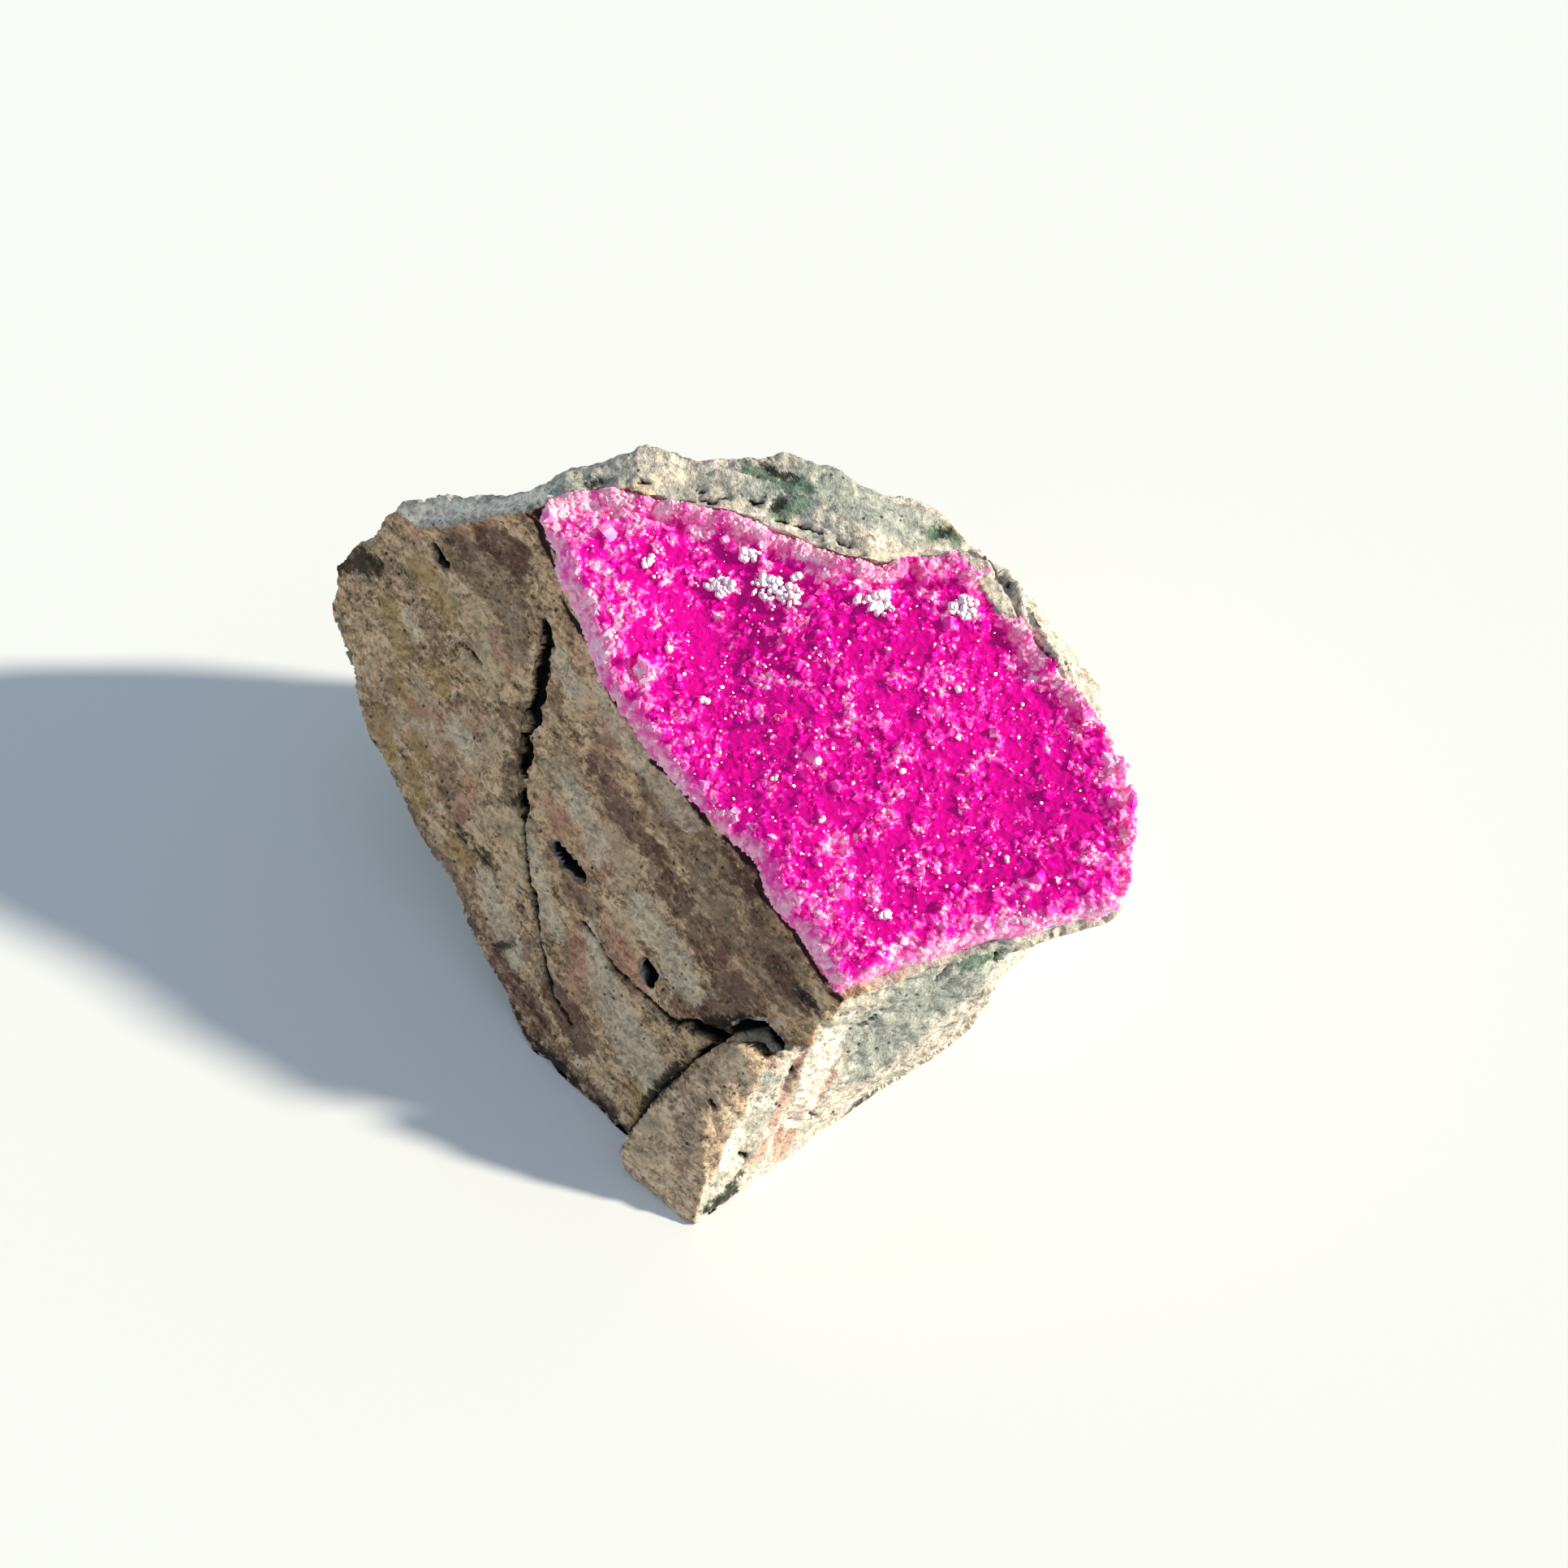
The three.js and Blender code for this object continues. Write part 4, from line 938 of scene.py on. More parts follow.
def glint_material():
    """Polished faces that mirror the light, in a near-white colour that is a painted highlight."""
    s = Shades("calcite glints")
    # Near-white: a painted highlight, on top of the faces' real mirror-like reflection.
    s.put(s.shader.inputs["Base Color"], rgb(255, 226, 238))
    s.put(s.shader.inputs["Roughness"], 0.16)
    s.put(s.shader.inputs["Specular IOR Level"], 1.0)
    s.put(s.shader.inputs["Coat Weight"], 1.0)
    s.put(s.shader.inputs["Coat Roughness"], 0.12)
    return s.material


def floor_material(colour):
    s = Shades("pale floor")
    s.put(s.shader.inputs["Base Color"], tuple(colour))
    s.put(s.shader.inputs["Roughness"], 0.85)
    s.put(s.shader.inputs["Specular IOR Level"], 0.2)
    return s.material


# ---------------------------------------------------------------- the rock


def rock_regions(mesh, places, faces):
    """Where the left face and the wedge at the front foot are, from 0 to 1."""
    found = [faces.find_nearest(Vector(p)) for p in places.tolist()]
    near = np.array([hit[1] for hit in found])
    broad = relaxed(mesh, near, 3)
    broad /= np.maximum(np.linalg.norm(broad, axis=1), 1e-6)[:, None]
    face = on_left_face(places)
    facing = broad @ np.array(LEFT_FACE_OUT)
    wobble = 0.10 * noise_at(places, 0.8, 3, 5.0)
    flat = smoothstep(-3.4, -2.6, face[:, 2]) * smoothstep(1.0, 0.6, face[:, 2])
    left = smoothstep(0.66, 0.78, facing + wobble) * flat
    in_wedge = smoothstep(0.45, 1.0, face[:, 2]) * smoothstep(13.0, 11.0, places[:, 2])
    wedge = in_wedge * smoothstep(9.0, 6.0, places[:, 0])
    left = np.maximum(left * (1 - wedge), 0.8 * wedge * smoothstep(0.5, 0.75, facing))
    return left, wedge, facing, np.array([hit[0] for hit in found])


def in_rows(rows, spread, ragged, convert, points):
    """1 inside any of the rows, falling to 0 over the spread outside it."""
    inside = np.zeros(len(points))
    for row in rows:
        converted = convert(row)
        if len(converted) > 1:
            gap = outside_row(points, converted) + ragged
            inside = np.maximum(inside, smoothstep(spread, -0.3 * spread, gap))
    return inside


def filled_seat(mesh, places, sink, away, crust):
    """Where the crust is pulled back from the rock's edge, the places that fill its seat, by vertex."""
    aside, along, out = druse_axes()
    shifts = [0.55 * (u * aside + v * along) for u in (-1, 0, 1) for v in (-1, 0, 1)]
    level = on_druse(places)[:, 2]

    def crust_under(start):
        return crust.ray_cast(Vector(start), Vector(-out), SEAT_LOOK + 2.0)

    filled = {}
    for i in np.flatnonzero((away > 0.1) & (level > -3.0) & (normals_of(mesh)[:, 0] < 0.4)):
        start = places[i] + SEAT_LOOK * out
        if crust_under(start + (away[i] + 0.3) * aside)[0] is not None:
            continue
        hits = [crust_under(start + shift) for shift in shifts]
        heights = [SEAT_LOOK - hit[3] for hit in hits if hit[0] is not None]
        if heights:
            lift = np.percentile(heights, 70) - 0.10 - 0.3 * abs(sink[i])
            if lift > 0:
                filled[i] = places[i] + lift * out
    return filled


def rock_relief(places, face, left, chip_depth):
    """How deep the chips, the streaks and the pits go into the rock."""
    other = 1 - left
    middle = cells_at(places, CHIP_WIDTH)[0]
    small_middle = cells_at(places * np.array((0.6, 1.0, 1.2)), SMALL_CHIP_WIDTH, 3.0)[0]
    sink = chip_depth * other * (CHIP_SHARE * middle + SMALL_CHIP_SHARE * small_middle)
    sink += LEFT_CHIP_DEPTH * left * small_middle
    along = face @ np.array((math.cos(GRAIN_SLANT), math.sin(GRAIN_SLANT), 0.0)) * GRAIN_STRETCH
    aside = face @ np.array((-math.sin(GRAIN_SLANT), math.cos(GRAIN_SLANT), 0.0))
    in_grain = np.stack((along, aside, face[:, 2]), axis=1)
    sink += left * STREAK_DEPTH * noise_at(in_grain, STREAK_WIDTH, 3)
    layered = places * np.array((0.5, 1.0, 1.3))
    sink += other * LEDGE_DEPTH * np.abs(noise_at(layered, LEDGE_WIDTH, 3, 9.0))
    sink += GRAIN_DEPTH * noise_at(places, GRAIN_WIDTH, 2, 19.0)
    sink += WAVE_DEPTH * noise_at(places, WAVE_WIDTH, 2, 17.0)
    pits = smoothstep(0.24, 0.14, cells_at(places, PIT_SPACING, 31.0)[0])
    pits *= smoothstep(-0.1, 0.3, noise_at(places, 3.1))
    return sink + PIT_DEPTH * pits * (0.4 + 0.6 * left)


def top_edge(places, face, near_face, ragged):
    """How far each place is above the left face's top edge, and how far it stands out there."""
    edge = left_face_row(TOP_EDGE)
    above = face[:, 1] - np.interp(face[:, 0], edge[:, 0], edge[:, 1]) + 1.5 * ragged
    at_band = smoothstep(TOP_EDGE_ENDS[0], TOP_EDGE_ENDS[0] + 1.5, places[:, 0]) * near_face
    at_band *= smoothstep(TOP_EDGE_ENDS[1], TOP_EDGE_ENDS[1] - 2.0, places[:, 0])
    tilt = np.where(above < 0, smoothstep(-0.6, 0.0, above), np.maximum(1 - above / 0.8, -0.3))
    return above, TOP_TILT * at_band * tilt


def contact_seam(places, face, facing, ragged, away, crust):
    """The dark seam on the left face where the crust's border sits on it, from 0 to 1."""
    from_crust = np.array([crust.find_nearest(Vector(p))[3] for p in places.tolist()])
    contact = smoothstep(0.80, 0.42, from_crust + 1.4 * ragged) * smoothstep(-1.5, -0.8, face[:, 2])
    contact *= smoothstep(0.3, 0.05, away)
    broken = smoothstep(-0.5, 0.1, noise_at(places, 2.0))
    return contact * smoothstep(0.68, 0.85, facing) * broken


def dress_rock(mesh, settings):
    """Chips, pits and cracks in the rock's mesh, and the values that its material reads.

    Gives back how far each corner is among the thinned-out faces.
    """
    tree, crust = surface_tree("host_rock"), surface_tree("calcite_crust")
    thinned = thinned_out(mesh)
    places = places_of(mesh)
    places += (1 - thinned)[:, None] * (relaxed(mesh, places, 4) - places)
    left, wedge, facing, on_solid = rock_regions(mesh, places, tree)
    places = places + settings.crispness * (on_solid - places)
    move_to(mesh, places)
    face = on_left_face(places)
    near_face = (np.abs(face[:, 2]) < LEFT_FACE_REACH).astype(float)
    ragged = 0.10 * noise_at(places, 0.5, 2, 41.0)

    def in_left_rows(rows, spread, border=0.0):
        return in_rows(rows, spread, border, left_face_row, face[:, :2]) * near_face

    def in_skin_rows(rows, spread, border=0.0):
        return in_rows(rows, spread, border, lambda row: surface_row(row, tree), places)

    # Down into the rock.
    sink = rock_relief(places, face, left, settings.chip_depth / MM)
    for row, depth in PRESSED:
        sink += depth * in_skin_rows((row,), 0.5)
    outward = smoothstep(0.2, 0.7, normals_of(mesh)[:, 0])
    sink += in_skin_rows((RIGHT_RIM,), 0.6) * (RIM_DROP - (RIM_DROP + RIM_BULGE) * outward)
    above, stands_out = top_edge(places, face, near_face, ragged)
    left *= 1 - smoothstep(-0.05, 0.05, above) * near_face
    other = 1 - left
    sink -= stands_out
    thin = in_left_rows(THIN_CLEFTS, 0.12, ragged) * (1 - wedge)
    seam = in_left_rows(SEAMS, 0.16, ragged)
    rim = in_skin_rows(RIM_PITS, 0.08, 0.6 * ragged) * (1 - thin)
    across, up = on_druse(places).T[:2]
    away = pulled_back(across + RIM_PULL, up)
    seam = np.maximum(seam, contact_seam(places, face, facing, ragged, away, crust))
    sink += THIN_CLEFT_DEPTH * thin + RIM_PIT_DEPTH * rim + SEAM_DEPTH * seam
    shallow = smoothstep(0.2, 1.8, places[:, 2]) * (1 - thinned)
    moved = places - normals_of(mesh) * (sink * shallow)[:, None]
    for i, place in filled_seat(mesh, places, sink, away, crust).items():
        moved[i] = place

    # The solid's straight clefts become the ragged ones: filled up beside them, and cut deep inside them.
    open_cleft = in_left_rows(OPEN_CLEFTS, 0.08, ragged)
    beside = in_left_rows(FILLED_CLEFTS, 1.1)
    out = on_left_face(moved)[:, 2]
    left = np.maximum(left, smoothstep(0.0, 0.4, beside) * (out < 0.3))
    in_cleft = (out < -0.2) & (beside > 0.02) & (out > -3.4) & (places[:, 2] > 8)
    level = np.where(in_cleft, -0.12 + 0.08 * noise_at(places, 0.5, 2, 61.0), out)
    lift = level - out - OPEN_CLEFT_DEPTH * open_cleft
    moved += lift[:, None] * np.array(LEFT_FACE_OUT) * near_face[:, None]
    moved[:, 2] = np.where(places[:, 2] < 0.12, 0.0, np.maximum(moved[:, 2], 0.0))
    move_to(mesh, inside_cad_box(moved))

    # Painted shade for the material: near-black in the open clefts and their hollows, the pits, the thin
    # clefts and the crevices that lie below their surroundings.
    hollow_shade = in_left_rows(OPEN_CLEFTS, 0.5) * smoothstep(-0.22, -0.50, on_left_face(moved)[:, 2])
    evened = relaxed(mesh, moved, 16)
    sunk = np.sum((evened - moved) * normals_of(mesh), axis=1)
    crevice_shade = smoothstep(0.16, 0.42, sunk) * smoothstep(-0.5, 0.1, noise_at(places, 1.1, 2, 47.0))
    crevice_shade *= smoothstep(0.3, 0.05, away) * (1 - thinned)
    cleft = np.maximum.reduce((open_cleft, 0.7 * rim, 0.75 * thin, hollow_shade, 0.9 * crevice_shade))
    keep_values(mesh, "left", left)
    keep_values(mesh, "seam", seam)
    keep_values(mesh, "cleft", cleft)
    for name, _, _ in STAIN_COLOURS:
        near = in_left_rows(STAINS.get(name, ()), 0.75) * left
        far = in_skin_rows(FAR_STAINS.get(name, ()), 0.6) * other
        keep_values(mesh, name, np.maximum(near, far))
    return thinned


def flatten_long_faces(mesh, thinned):
    """Flat shading for the underside's long faces, which would streak with smooth shading."""
    for face in mesh.polygons:
        face.use_smooth = max(thinned[i] for i in face.vertices) < 0.5


# ---------------------------------------------------------------- the druse


def spots_at(spots, across, up):
    """The sum of soft round spots at each place."""
    total = np.zeros(len(across))
    for spot_across, spot_up, radius, strength in spots:
        gap = ((across - spot_across) ** 2 + (up - spot_up) ** 2) / radius**2
        total += strength * np.exp(-gap)
    return total


def evened_height(across, up, height, share, spread):
    """The height with its bumps narrower than the spread evened out, on a grid of half millimetres."""
    step = 0.5
    margin = int(3 * spread / step)
    column = (across - across.min()) / step + margin
    row = (up - up.min()) / step + margin
    cells = (column.round().astype(int), row.round().astype(int))
    total = np.zeros((cells[0].max() + margin + 2, cells[1].max() + margin + 2))
    count = np.zeros_like(total)
    np.add.at(total, cells, height * share)
    np.add.at(count, cells, share)
    bell = np.exp(-0.5 * (np.arange(-margin, margin + 1) * step / spread) ** 2)
    for axis in (0, 1):
        total = np.apply_along_axis(np.convolve, axis, total, bell, "same")
        count = np.apply_along_axis(np.convolve, axis, count, bell, "same")
    evened = total / np.maximum(count, 1e-9)
    i, j = column.astype(int), row.astype(int)
    u, v = column - i, row - j
    near = (1 - v) * evened[i, j] + v * evened[i, j + 1]
    far = (1 - v) * evened[i + 1, j] + v * evened[i + 1, j + 1]
    return (1 - u) * near + u * far


def pulled_back(across, up):
    """How far the crust stays back from its place, at its right corner."""
    return RIM_PULL * smoothstep(5.0, 9.2, across) * smoothstep(6.5, 10.5, up)


def grown_relief(across, up, pitch, seed):
    """The height of a carpet of three-sided crystal tips, in pitches, and each tip's chance value."""
    chances = np.random.default_rng(seed).random((CARPET_REPEAT, CARPET_REPEAT, 7))
    column, row = across / pitch, up / pitch / ROW_GAP
    height = np.full(len(across), -1.0)
    tone = np.zeros(len(across))
    for dj in (-1, 0, 1):
        cell_row = np.floor(row).astype(int) + dj
        shift = 0.5 * (cell_row % 2)
        for di in (-1, 0, 1):
            cell = np.floor(column - shift).astype(int) + di
            chance = chances[cell % CARPET_REPEAT, cell_row % CARPET_REPEAT]
            x = column - (cell + shift + 0.5 + 0.8 * (chance[:, 0] - 0.5))
            y = (row - (cell_row + 0.5 + 0.8 * (chance[:, 1] - 0.5))) * ROW_GAP
            turns = [2 * math.pi * chance[:, 2] + k * TIP_TURN for k in range(3)]
            sides = [x * np.cos(turn) + y * np.sin(turn) for turn in turns]
            lean = 0.55 * ((chance[:, 3] - 0.5) * x + (chance[:, 4] - 0.5) * y)
            tip = 0.22 + 0.30 * chance[:, 5] - 0.78 * np.maximum.reduce(sides) + lean
            tone = np.where(tip > height, chance[:, 6], tone)
            height = np.maximum(height, tip)
    return height, tone


def from_walls(places, is_wall):
    """How far each place is from the nearest place on the crust's walls."""
    walls = KDTree(int(is_wall.sum()))
    for i in np.flatnonzero(is_wall):
        walls.insert(Vector(places[i]), int(i))
    walls.balance()
    return np.array([walls.find(Vector(p))[2] for p in places.tolist()])


def seat_on_rock(moved, places, broad, facing, tree):
    """Keeps the top clear of the rock under it, and grows the walls and the underside onto the rock.

    Gives back which corners of the walls and the underside are grown onto it.
    """
    beside_rock = np.zeros(len(places), bool)
    for i in np.flatnonzero(facing >= 0.5):
        hit, normal = tree.find_nearest(Vector(moved[i]), THINNEST_BED + 1.5)[:2]
        if hit is not None:
            lift = THINNEST_BED - (Vector(moved[i]) - hit).dot(normal)
            moved[i] += max(lift, 0.0) * broad[i]
    for i in np.flatnonzero(facing < 0.5):
        reach = SEAT_REACH if facing[i] > -0.5 else 2 * SEAT_REACH
        hit, normal = tree.find_nearest(Vector(places[i]), reach)[:2]
        if hit is not None:
            beside_rock[i] = True
            moved[i] = np.array(hit - normal * SEAT_GRIP)
    return beside_rock


def dress_bed(mesh):
    """The bed's crystals and broken edges, and the values that the crystals and the material read."""
    tree = surface_tree("host_rock")
    out = druse_axes()[2]
    broad = relaxed(mesh, normals_of(mesh), 50)
    broad /= np.linalg.norm(broad, axis=1)[:, None]
    facing = broad @ out
    overall = relaxed(mesh, broad, 100) @ out
    places = relaxed(mesh, places_of(mesh), 4)
    from_edge = from_walls(places, (overall < 0.3) & (overall > -0.6))
    inside = smoothstep(0.4, 1.4, from_edge) * (overall > 0.4)
    facing = np.maximum(facing, inside)
    broad += inside[:, None] * (out - broad)

    # The solid's own lumps are evened out of the top.
    top = smoothstep(0.55, 0.80, facing)
    places += top[:, None] * (relaxed(mesh, places, 24) - places)
    across, up, level = on_druse(places).T
    lumps = level - evened_height(across, up, level, top, 2.3)
    inner = top * smoothstep(0.3, 2.2, from_edge)
    places -= (inner * lumps)[:, None] * out
    places[:, 0] -= pulled_back(across, up)

    # Where rock stands beside the druse, the bed climbs up to the rock's rim.
    above = places + 0.8 * out
    to_rock = np.array([tree.find_nearest(Vector(p))[3] for p in above.tolist()])
    climb = smoothstep(1.05, 0.25, to_rock) * smoothstep(-0.5, 0.2, facing)
    places = places + RIM_CLIMB * climb[:, None] * out
    across, up = on_druse(places).T[:2]
    ragged = 0.8 * noise_at(places, 1.6, 3, 13.0)
    edge = smoothstep(2.4, 0.0, from_edge + ragged)

    # Up from the bed.
    deep = spots_at(DEEP_SPOTS, across, up)
    light = spots_at(PALE_SPOTS, across, up) * smoothstep(-0.45, 0.35, noise_at(places, 0.9, 3, 53.0))
    wet = smoothstep(-0.15, 0.20, noise_at(places, 1.3, 3, 71.0) + 0.25 * deep - 0.3 * edge)
    large, large_tone = grown_relief(across, up, LARGE_PITCH, 3)
    small, small_tone = grown_relief(across, up, SMALL_PITCH, 4)
    large_up = LARGE_PITCH * np.maximum(large, 0.0) * (0.42 + 0.12 * np.clip(light, 0, 1))
    small_up = SMALL_PITCH * np.maximum(small, 0.0) * (1.15 - 0.8 * wet)
    rise = np.maximum(large_up, small_up + 0.10) - BED_SINK
    rise -= 0.09 * np.minimum(deep, 1.2) + 0.06 * noise_at(places, 1.7, 2, 3.0)
    grains = 0.5 - cells_at(places, 0.45, 5.0)[0]
    rough = 0.10 + 0.12 * noise_at(places, 0.45, 3, 7.0) + 0.26 * grains
    moved = places + broad * (top * rise + (1 - top) * rough)[:, None]
    beside_rock = seat_on_rock(moved, places, broad, facing, tree)
    to_rock = np.array([tree.find_nearest(Vector(p))[3] for p in moved.tolist()])
    move_to(mesh, inside_cad_box(moved))

    # What the material reads.
    corner = smoothstep(-6.0, -17.0, across) * smoothstep(2.0, 12.0, up)
    front = smoothstep(-4.0, -13.0, up)
    parts = {"light": light, "edge": edge, "corner": corner, "front": front, "deep": deep, "wet": wet}
    paleness = BASE_PALENESS + sum(PALER[name] * part for name, part in parts.items())
    keep_values(mesh, "pale", np.clip(paleness, 0.0, 1.0))
    is_large = large_up > small_up + 0.10
    keep_values(mesh, "tone", np.where(is_large, large_tone, small_tone) * top + 0.5 * (1 - top))
    large_tip = large_up / (0.36 * LARGE_PITCH)
    small_tip = (small_up + 0.06) / (0.46 * SMALL_PITCH)
    tip = np.clip(np.where(is_large, large_tip, small_tip), 0, 1)
    keep_values(mesh, "tip", tip * top + 0.6 * (1 - top))
    husk = smoothstep(-0.25, 0.35, noise_at(places, 0.7, 3, 23.0) + 0.9 * grains)
    keep_values(mesh, "husk", husk * np.maximum(1 - top, 0.75 * climb))

    # Where the larger crystals grow, and how large they are.
    growing = smoothstep(-0.35, -0.1, facing) * np.where(beside_rock, facing > 0.1, 1.0)
    on_brink = smoothstep(0.95, 0.45, to_rock + 0.4 * ragged) * smoothstep(-0.1, 0.3, facing)
    keep_values(mesh, "fringe", on_brink)
    keep_values(mesh, "grow", growing * (1.0 - 0.8 * wet))
    size = 0.9 + 0.25 * light - 0.2 * deep - 0.35 * edge * (1 - top) + 0.25 * noise_at(places, 2.4)
    keep_values(mesh, "size", np.clip(size, 0.4, 1.5))


def rhomb(name, flare, rise, squeeze, cut=0.0):
    """One crystal a unit across: a rhombohedron that stands on a corner, with its tip up."""
    sides = []
    for k in range(3):
        angle = 2 * math.pi * k / 3
        sides.append(Vector((flare * math.cos(angle), flare * squeeze * math.sin(angle), rise)))
    corners = []
    for mask in range(8):
        corner = Vector((0.0, 0.0, -2.0 * rise))
        for k in range(3):
            if mask & (1 << k):
                corner += sides[k]
        corners.append(corner)
    faces = [(0, 1, 3, 2), (0, 2, 6, 4), (0, 4, 5, 1), (7, 3, 1, 5), (7, 6, 2, 3), (7, 5, 4, 6)]
    mesh = bpy.data.meshes.new(name)
    mesh.from_pydata([tuple(c) for c in corners], [], faces)
    work = bmesh.new()
    work.from_mesh(mesh)
    if cut:
        plane = dict(plane_co=(0, 0, rise * (1 - cut)), plane_no=(0.25, 0.1, 1), clear_outer=True)
        everything = work.verts[:] + work.edges[:] + work.faces[:]
        made = bmesh.ops.bisect_plane(work, geom=everything, **plane)
        edges = [part for part in made["geom_cut"] if isinstance(part, bmesh.types.BMEdge)]
        bmesh.ops.holes_fill(work, edges=edges)
    bmesh.ops.recalc_face_normals(work, faces=work.faces)
    work.to_mesh(mesh)
    work.free()
    places = places_of(mesh)
    tip = (places[:, 2] - places[:, 2].min()) / (places[:, 2].max() - places[:, 2].min())
    keep_values(mesh, "tip", tip)
    return bpy.data.objects.new(name, mesh)


def crystal_kinds(name):
    """A hidden collection with the shapes that the crystals are picked from."""
    kinds = bpy.data.collections.new(name)
    shapes = (
        (0.62, 0.34, 1.0, 0.0),
        (0.52, 0.48, 0.9, 0.0),
        (0.66, 0.26, 1.1, 0.0),
        (0.58, 0.40, 1.0, 0.35),
    )
    for k, shape in enumerate(shapes):
        kinds.objects.link(rhomb(f"{name}_{k}", *shape))
    return kinds


def crystal_tree():
    """Geometry Nodes that grow crystals from a surface."""
    tree = bpy.data.node_groups.new("Crystal carpet", "GeometryNodeTree")
    face = tree.interface
    face.new_socket("Geometry", in_out="INPUT", socket_type="NodeSocketGeometry")
    face.new_socket("Where", in_out="INPUT", socket_type="NodeSocketString").default_value = "grow"
    for name, value in (("Spacing", 0.0004), ("Smallest", 0.0004), ("Largest", 0.0009), ("Lean", 0.7)):
        socket = face.new_socket(name, in_out="INPUT", socket_type="NodeSocketFloat")
        socket.default_value = value
    face.new_socket("Density", in_out="INPUT", socket_type="NodeSocketFloat").default_value = 8e6
    face.new_socket("Seed", in_out="INPUT", socket_type="NodeSocketInt").default_value = 1
    face.new_socket("Kinds", in_out="INPUT", socket_type="NodeSocketCollection")
    face.new_socket("Material", in_out="INPUT", socket_type="NodeSocketMaterial")
    face.new_socket("Geometry", in_out="OUTPUT", socket_type="NodeSocketGeometry")
    new = tree.nodes.new
    link = tree.links.new
    given, result = new("NodeGroupInput"), new("NodeGroupOutput")

    def attribute(name):
        node = new("GeometryNodeInputNamedAttribute")
        node.data_type = "FLOAT"
        node.inputs["Name"].default_value = name
        return node.outputs["Attribute"]

    points = new("GeometryNodeDistributePointsOnFaces")
    points.distribute_method = "POISSON"
    link(given.outputs["Geometry"], points.inputs["Mesh"])
    link(given.outputs["Spacing"], points.inputs["Distance Min"])
    link(given.outputs["Density"], points.inputs["Density Max"])
    where = attribute("grow")
    link(given.outputs["Where"], where.node.inputs["Name"])
    link(where, points.inputs["Density Factor"])
    link(given.outputs["Seed"], points.inputs["Seed"])

    tone = new("FunctionNodeRandomValue")
    tone.data_type = "FLOAT"
    link(given.outputs["Seed"], tone.inputs["Seed"])
    keep = new("GeometryNodeStoreNamedAttribute")
    keep.data_type = "FLOAT"
    keep.domain = "POINT"
    keep.inputs["Name"].default_value = "tone"
    link(points.outputs["Points"], keep.inputs["Geometry"])
    link(tone.outputs[1], keep.inputs["Value"])

    turns = new("ShaderNodeCombineXYZ")
    link(given.outputs["Lean"], turns.inputs["X"])
    link(given.outputs["Lean"], turns.inputs["Y"])
    turns.inputs["Z"].default_value = math.pi
    back = new("ShaderNodeVectorMath")
    back.operation = "SCALE"
    back.inputs["Scale"].default_value = -1.0
    link(turns.outputs[0], back.inputs[0])
    turn = new("FunctionNodeRandomValue")
    turn.data_type = "FLOAT_VECTOR"
    link(back.outputs["Vector"], turn.inputs[0])
    link(turns.outputs[0], turn.inputs[1])
    link(given.outputs["Seed"], turn.inputs["Seed"])
    as_rotation = new("FunctionNodeEulerToRotation")
    link(turn.outputs[0], as_rotation.inputs[0])
    rotate = new("FunctionNodeRotateRotation")
    rotate.rotation_space = "LOCAL"
    link(points.outputs["Rotation"], rotate.inputs[0])
    link(as_rotation.outputs[0], rotate.inputs[1])

    scale = new("FunctionNodeRandomValue")
    scale.data_type = "FLOAT"
    link(given.outputs["Smallest"], scale.inputs[2])
    link(given.outputs["Largest"], scale.inputs[3])
    link(given.outputs["Seed"], scale.inputs["Seed"])
    sized = new("ShaderNodeMath")
    sized.operation = "MULTIPLY"
    link(scale.outputs[1], sized.inputs[0])
    link(attribute("size"), sized.inputs[1])

    kinds = new("GeometryNodeCollectionInfo")
    kinds.inputs["Separate Children"].default_value = True
    kinds.inputs["Reset Children"].default_value = True
    link(given.outputs["Kinds"], kinds.inputs["Collection"])
    grow = new("GeometryNodeInstanceOnPoints")
    grow.inputs["Pick Instance"].default_value = True
    link(keep.outputs["Geometry"], grow.inputs["Points"])
    link(kinds.outputs["Instances"], grow.inputs["Instance"])
    link(rotate.outputs[0], grow.inputs["Rotation"])
    link(sized.outputs[0], grow.inputs["Scale"])
    real = new("GeometryNodeRealizeInstances")
    link(grow.outputs["Instances"], real.inputs["Geometry"])
    paint = new("GeometryNodeSetMaterial")
    link(real.outputs["Geometry"], paint.inputs["Geometry"])
    link(given.outputs["Material"], paint.inputs["Material"])
    link(paint.outputs["Geometry"], result.inputs["Geometry"])
    return tree


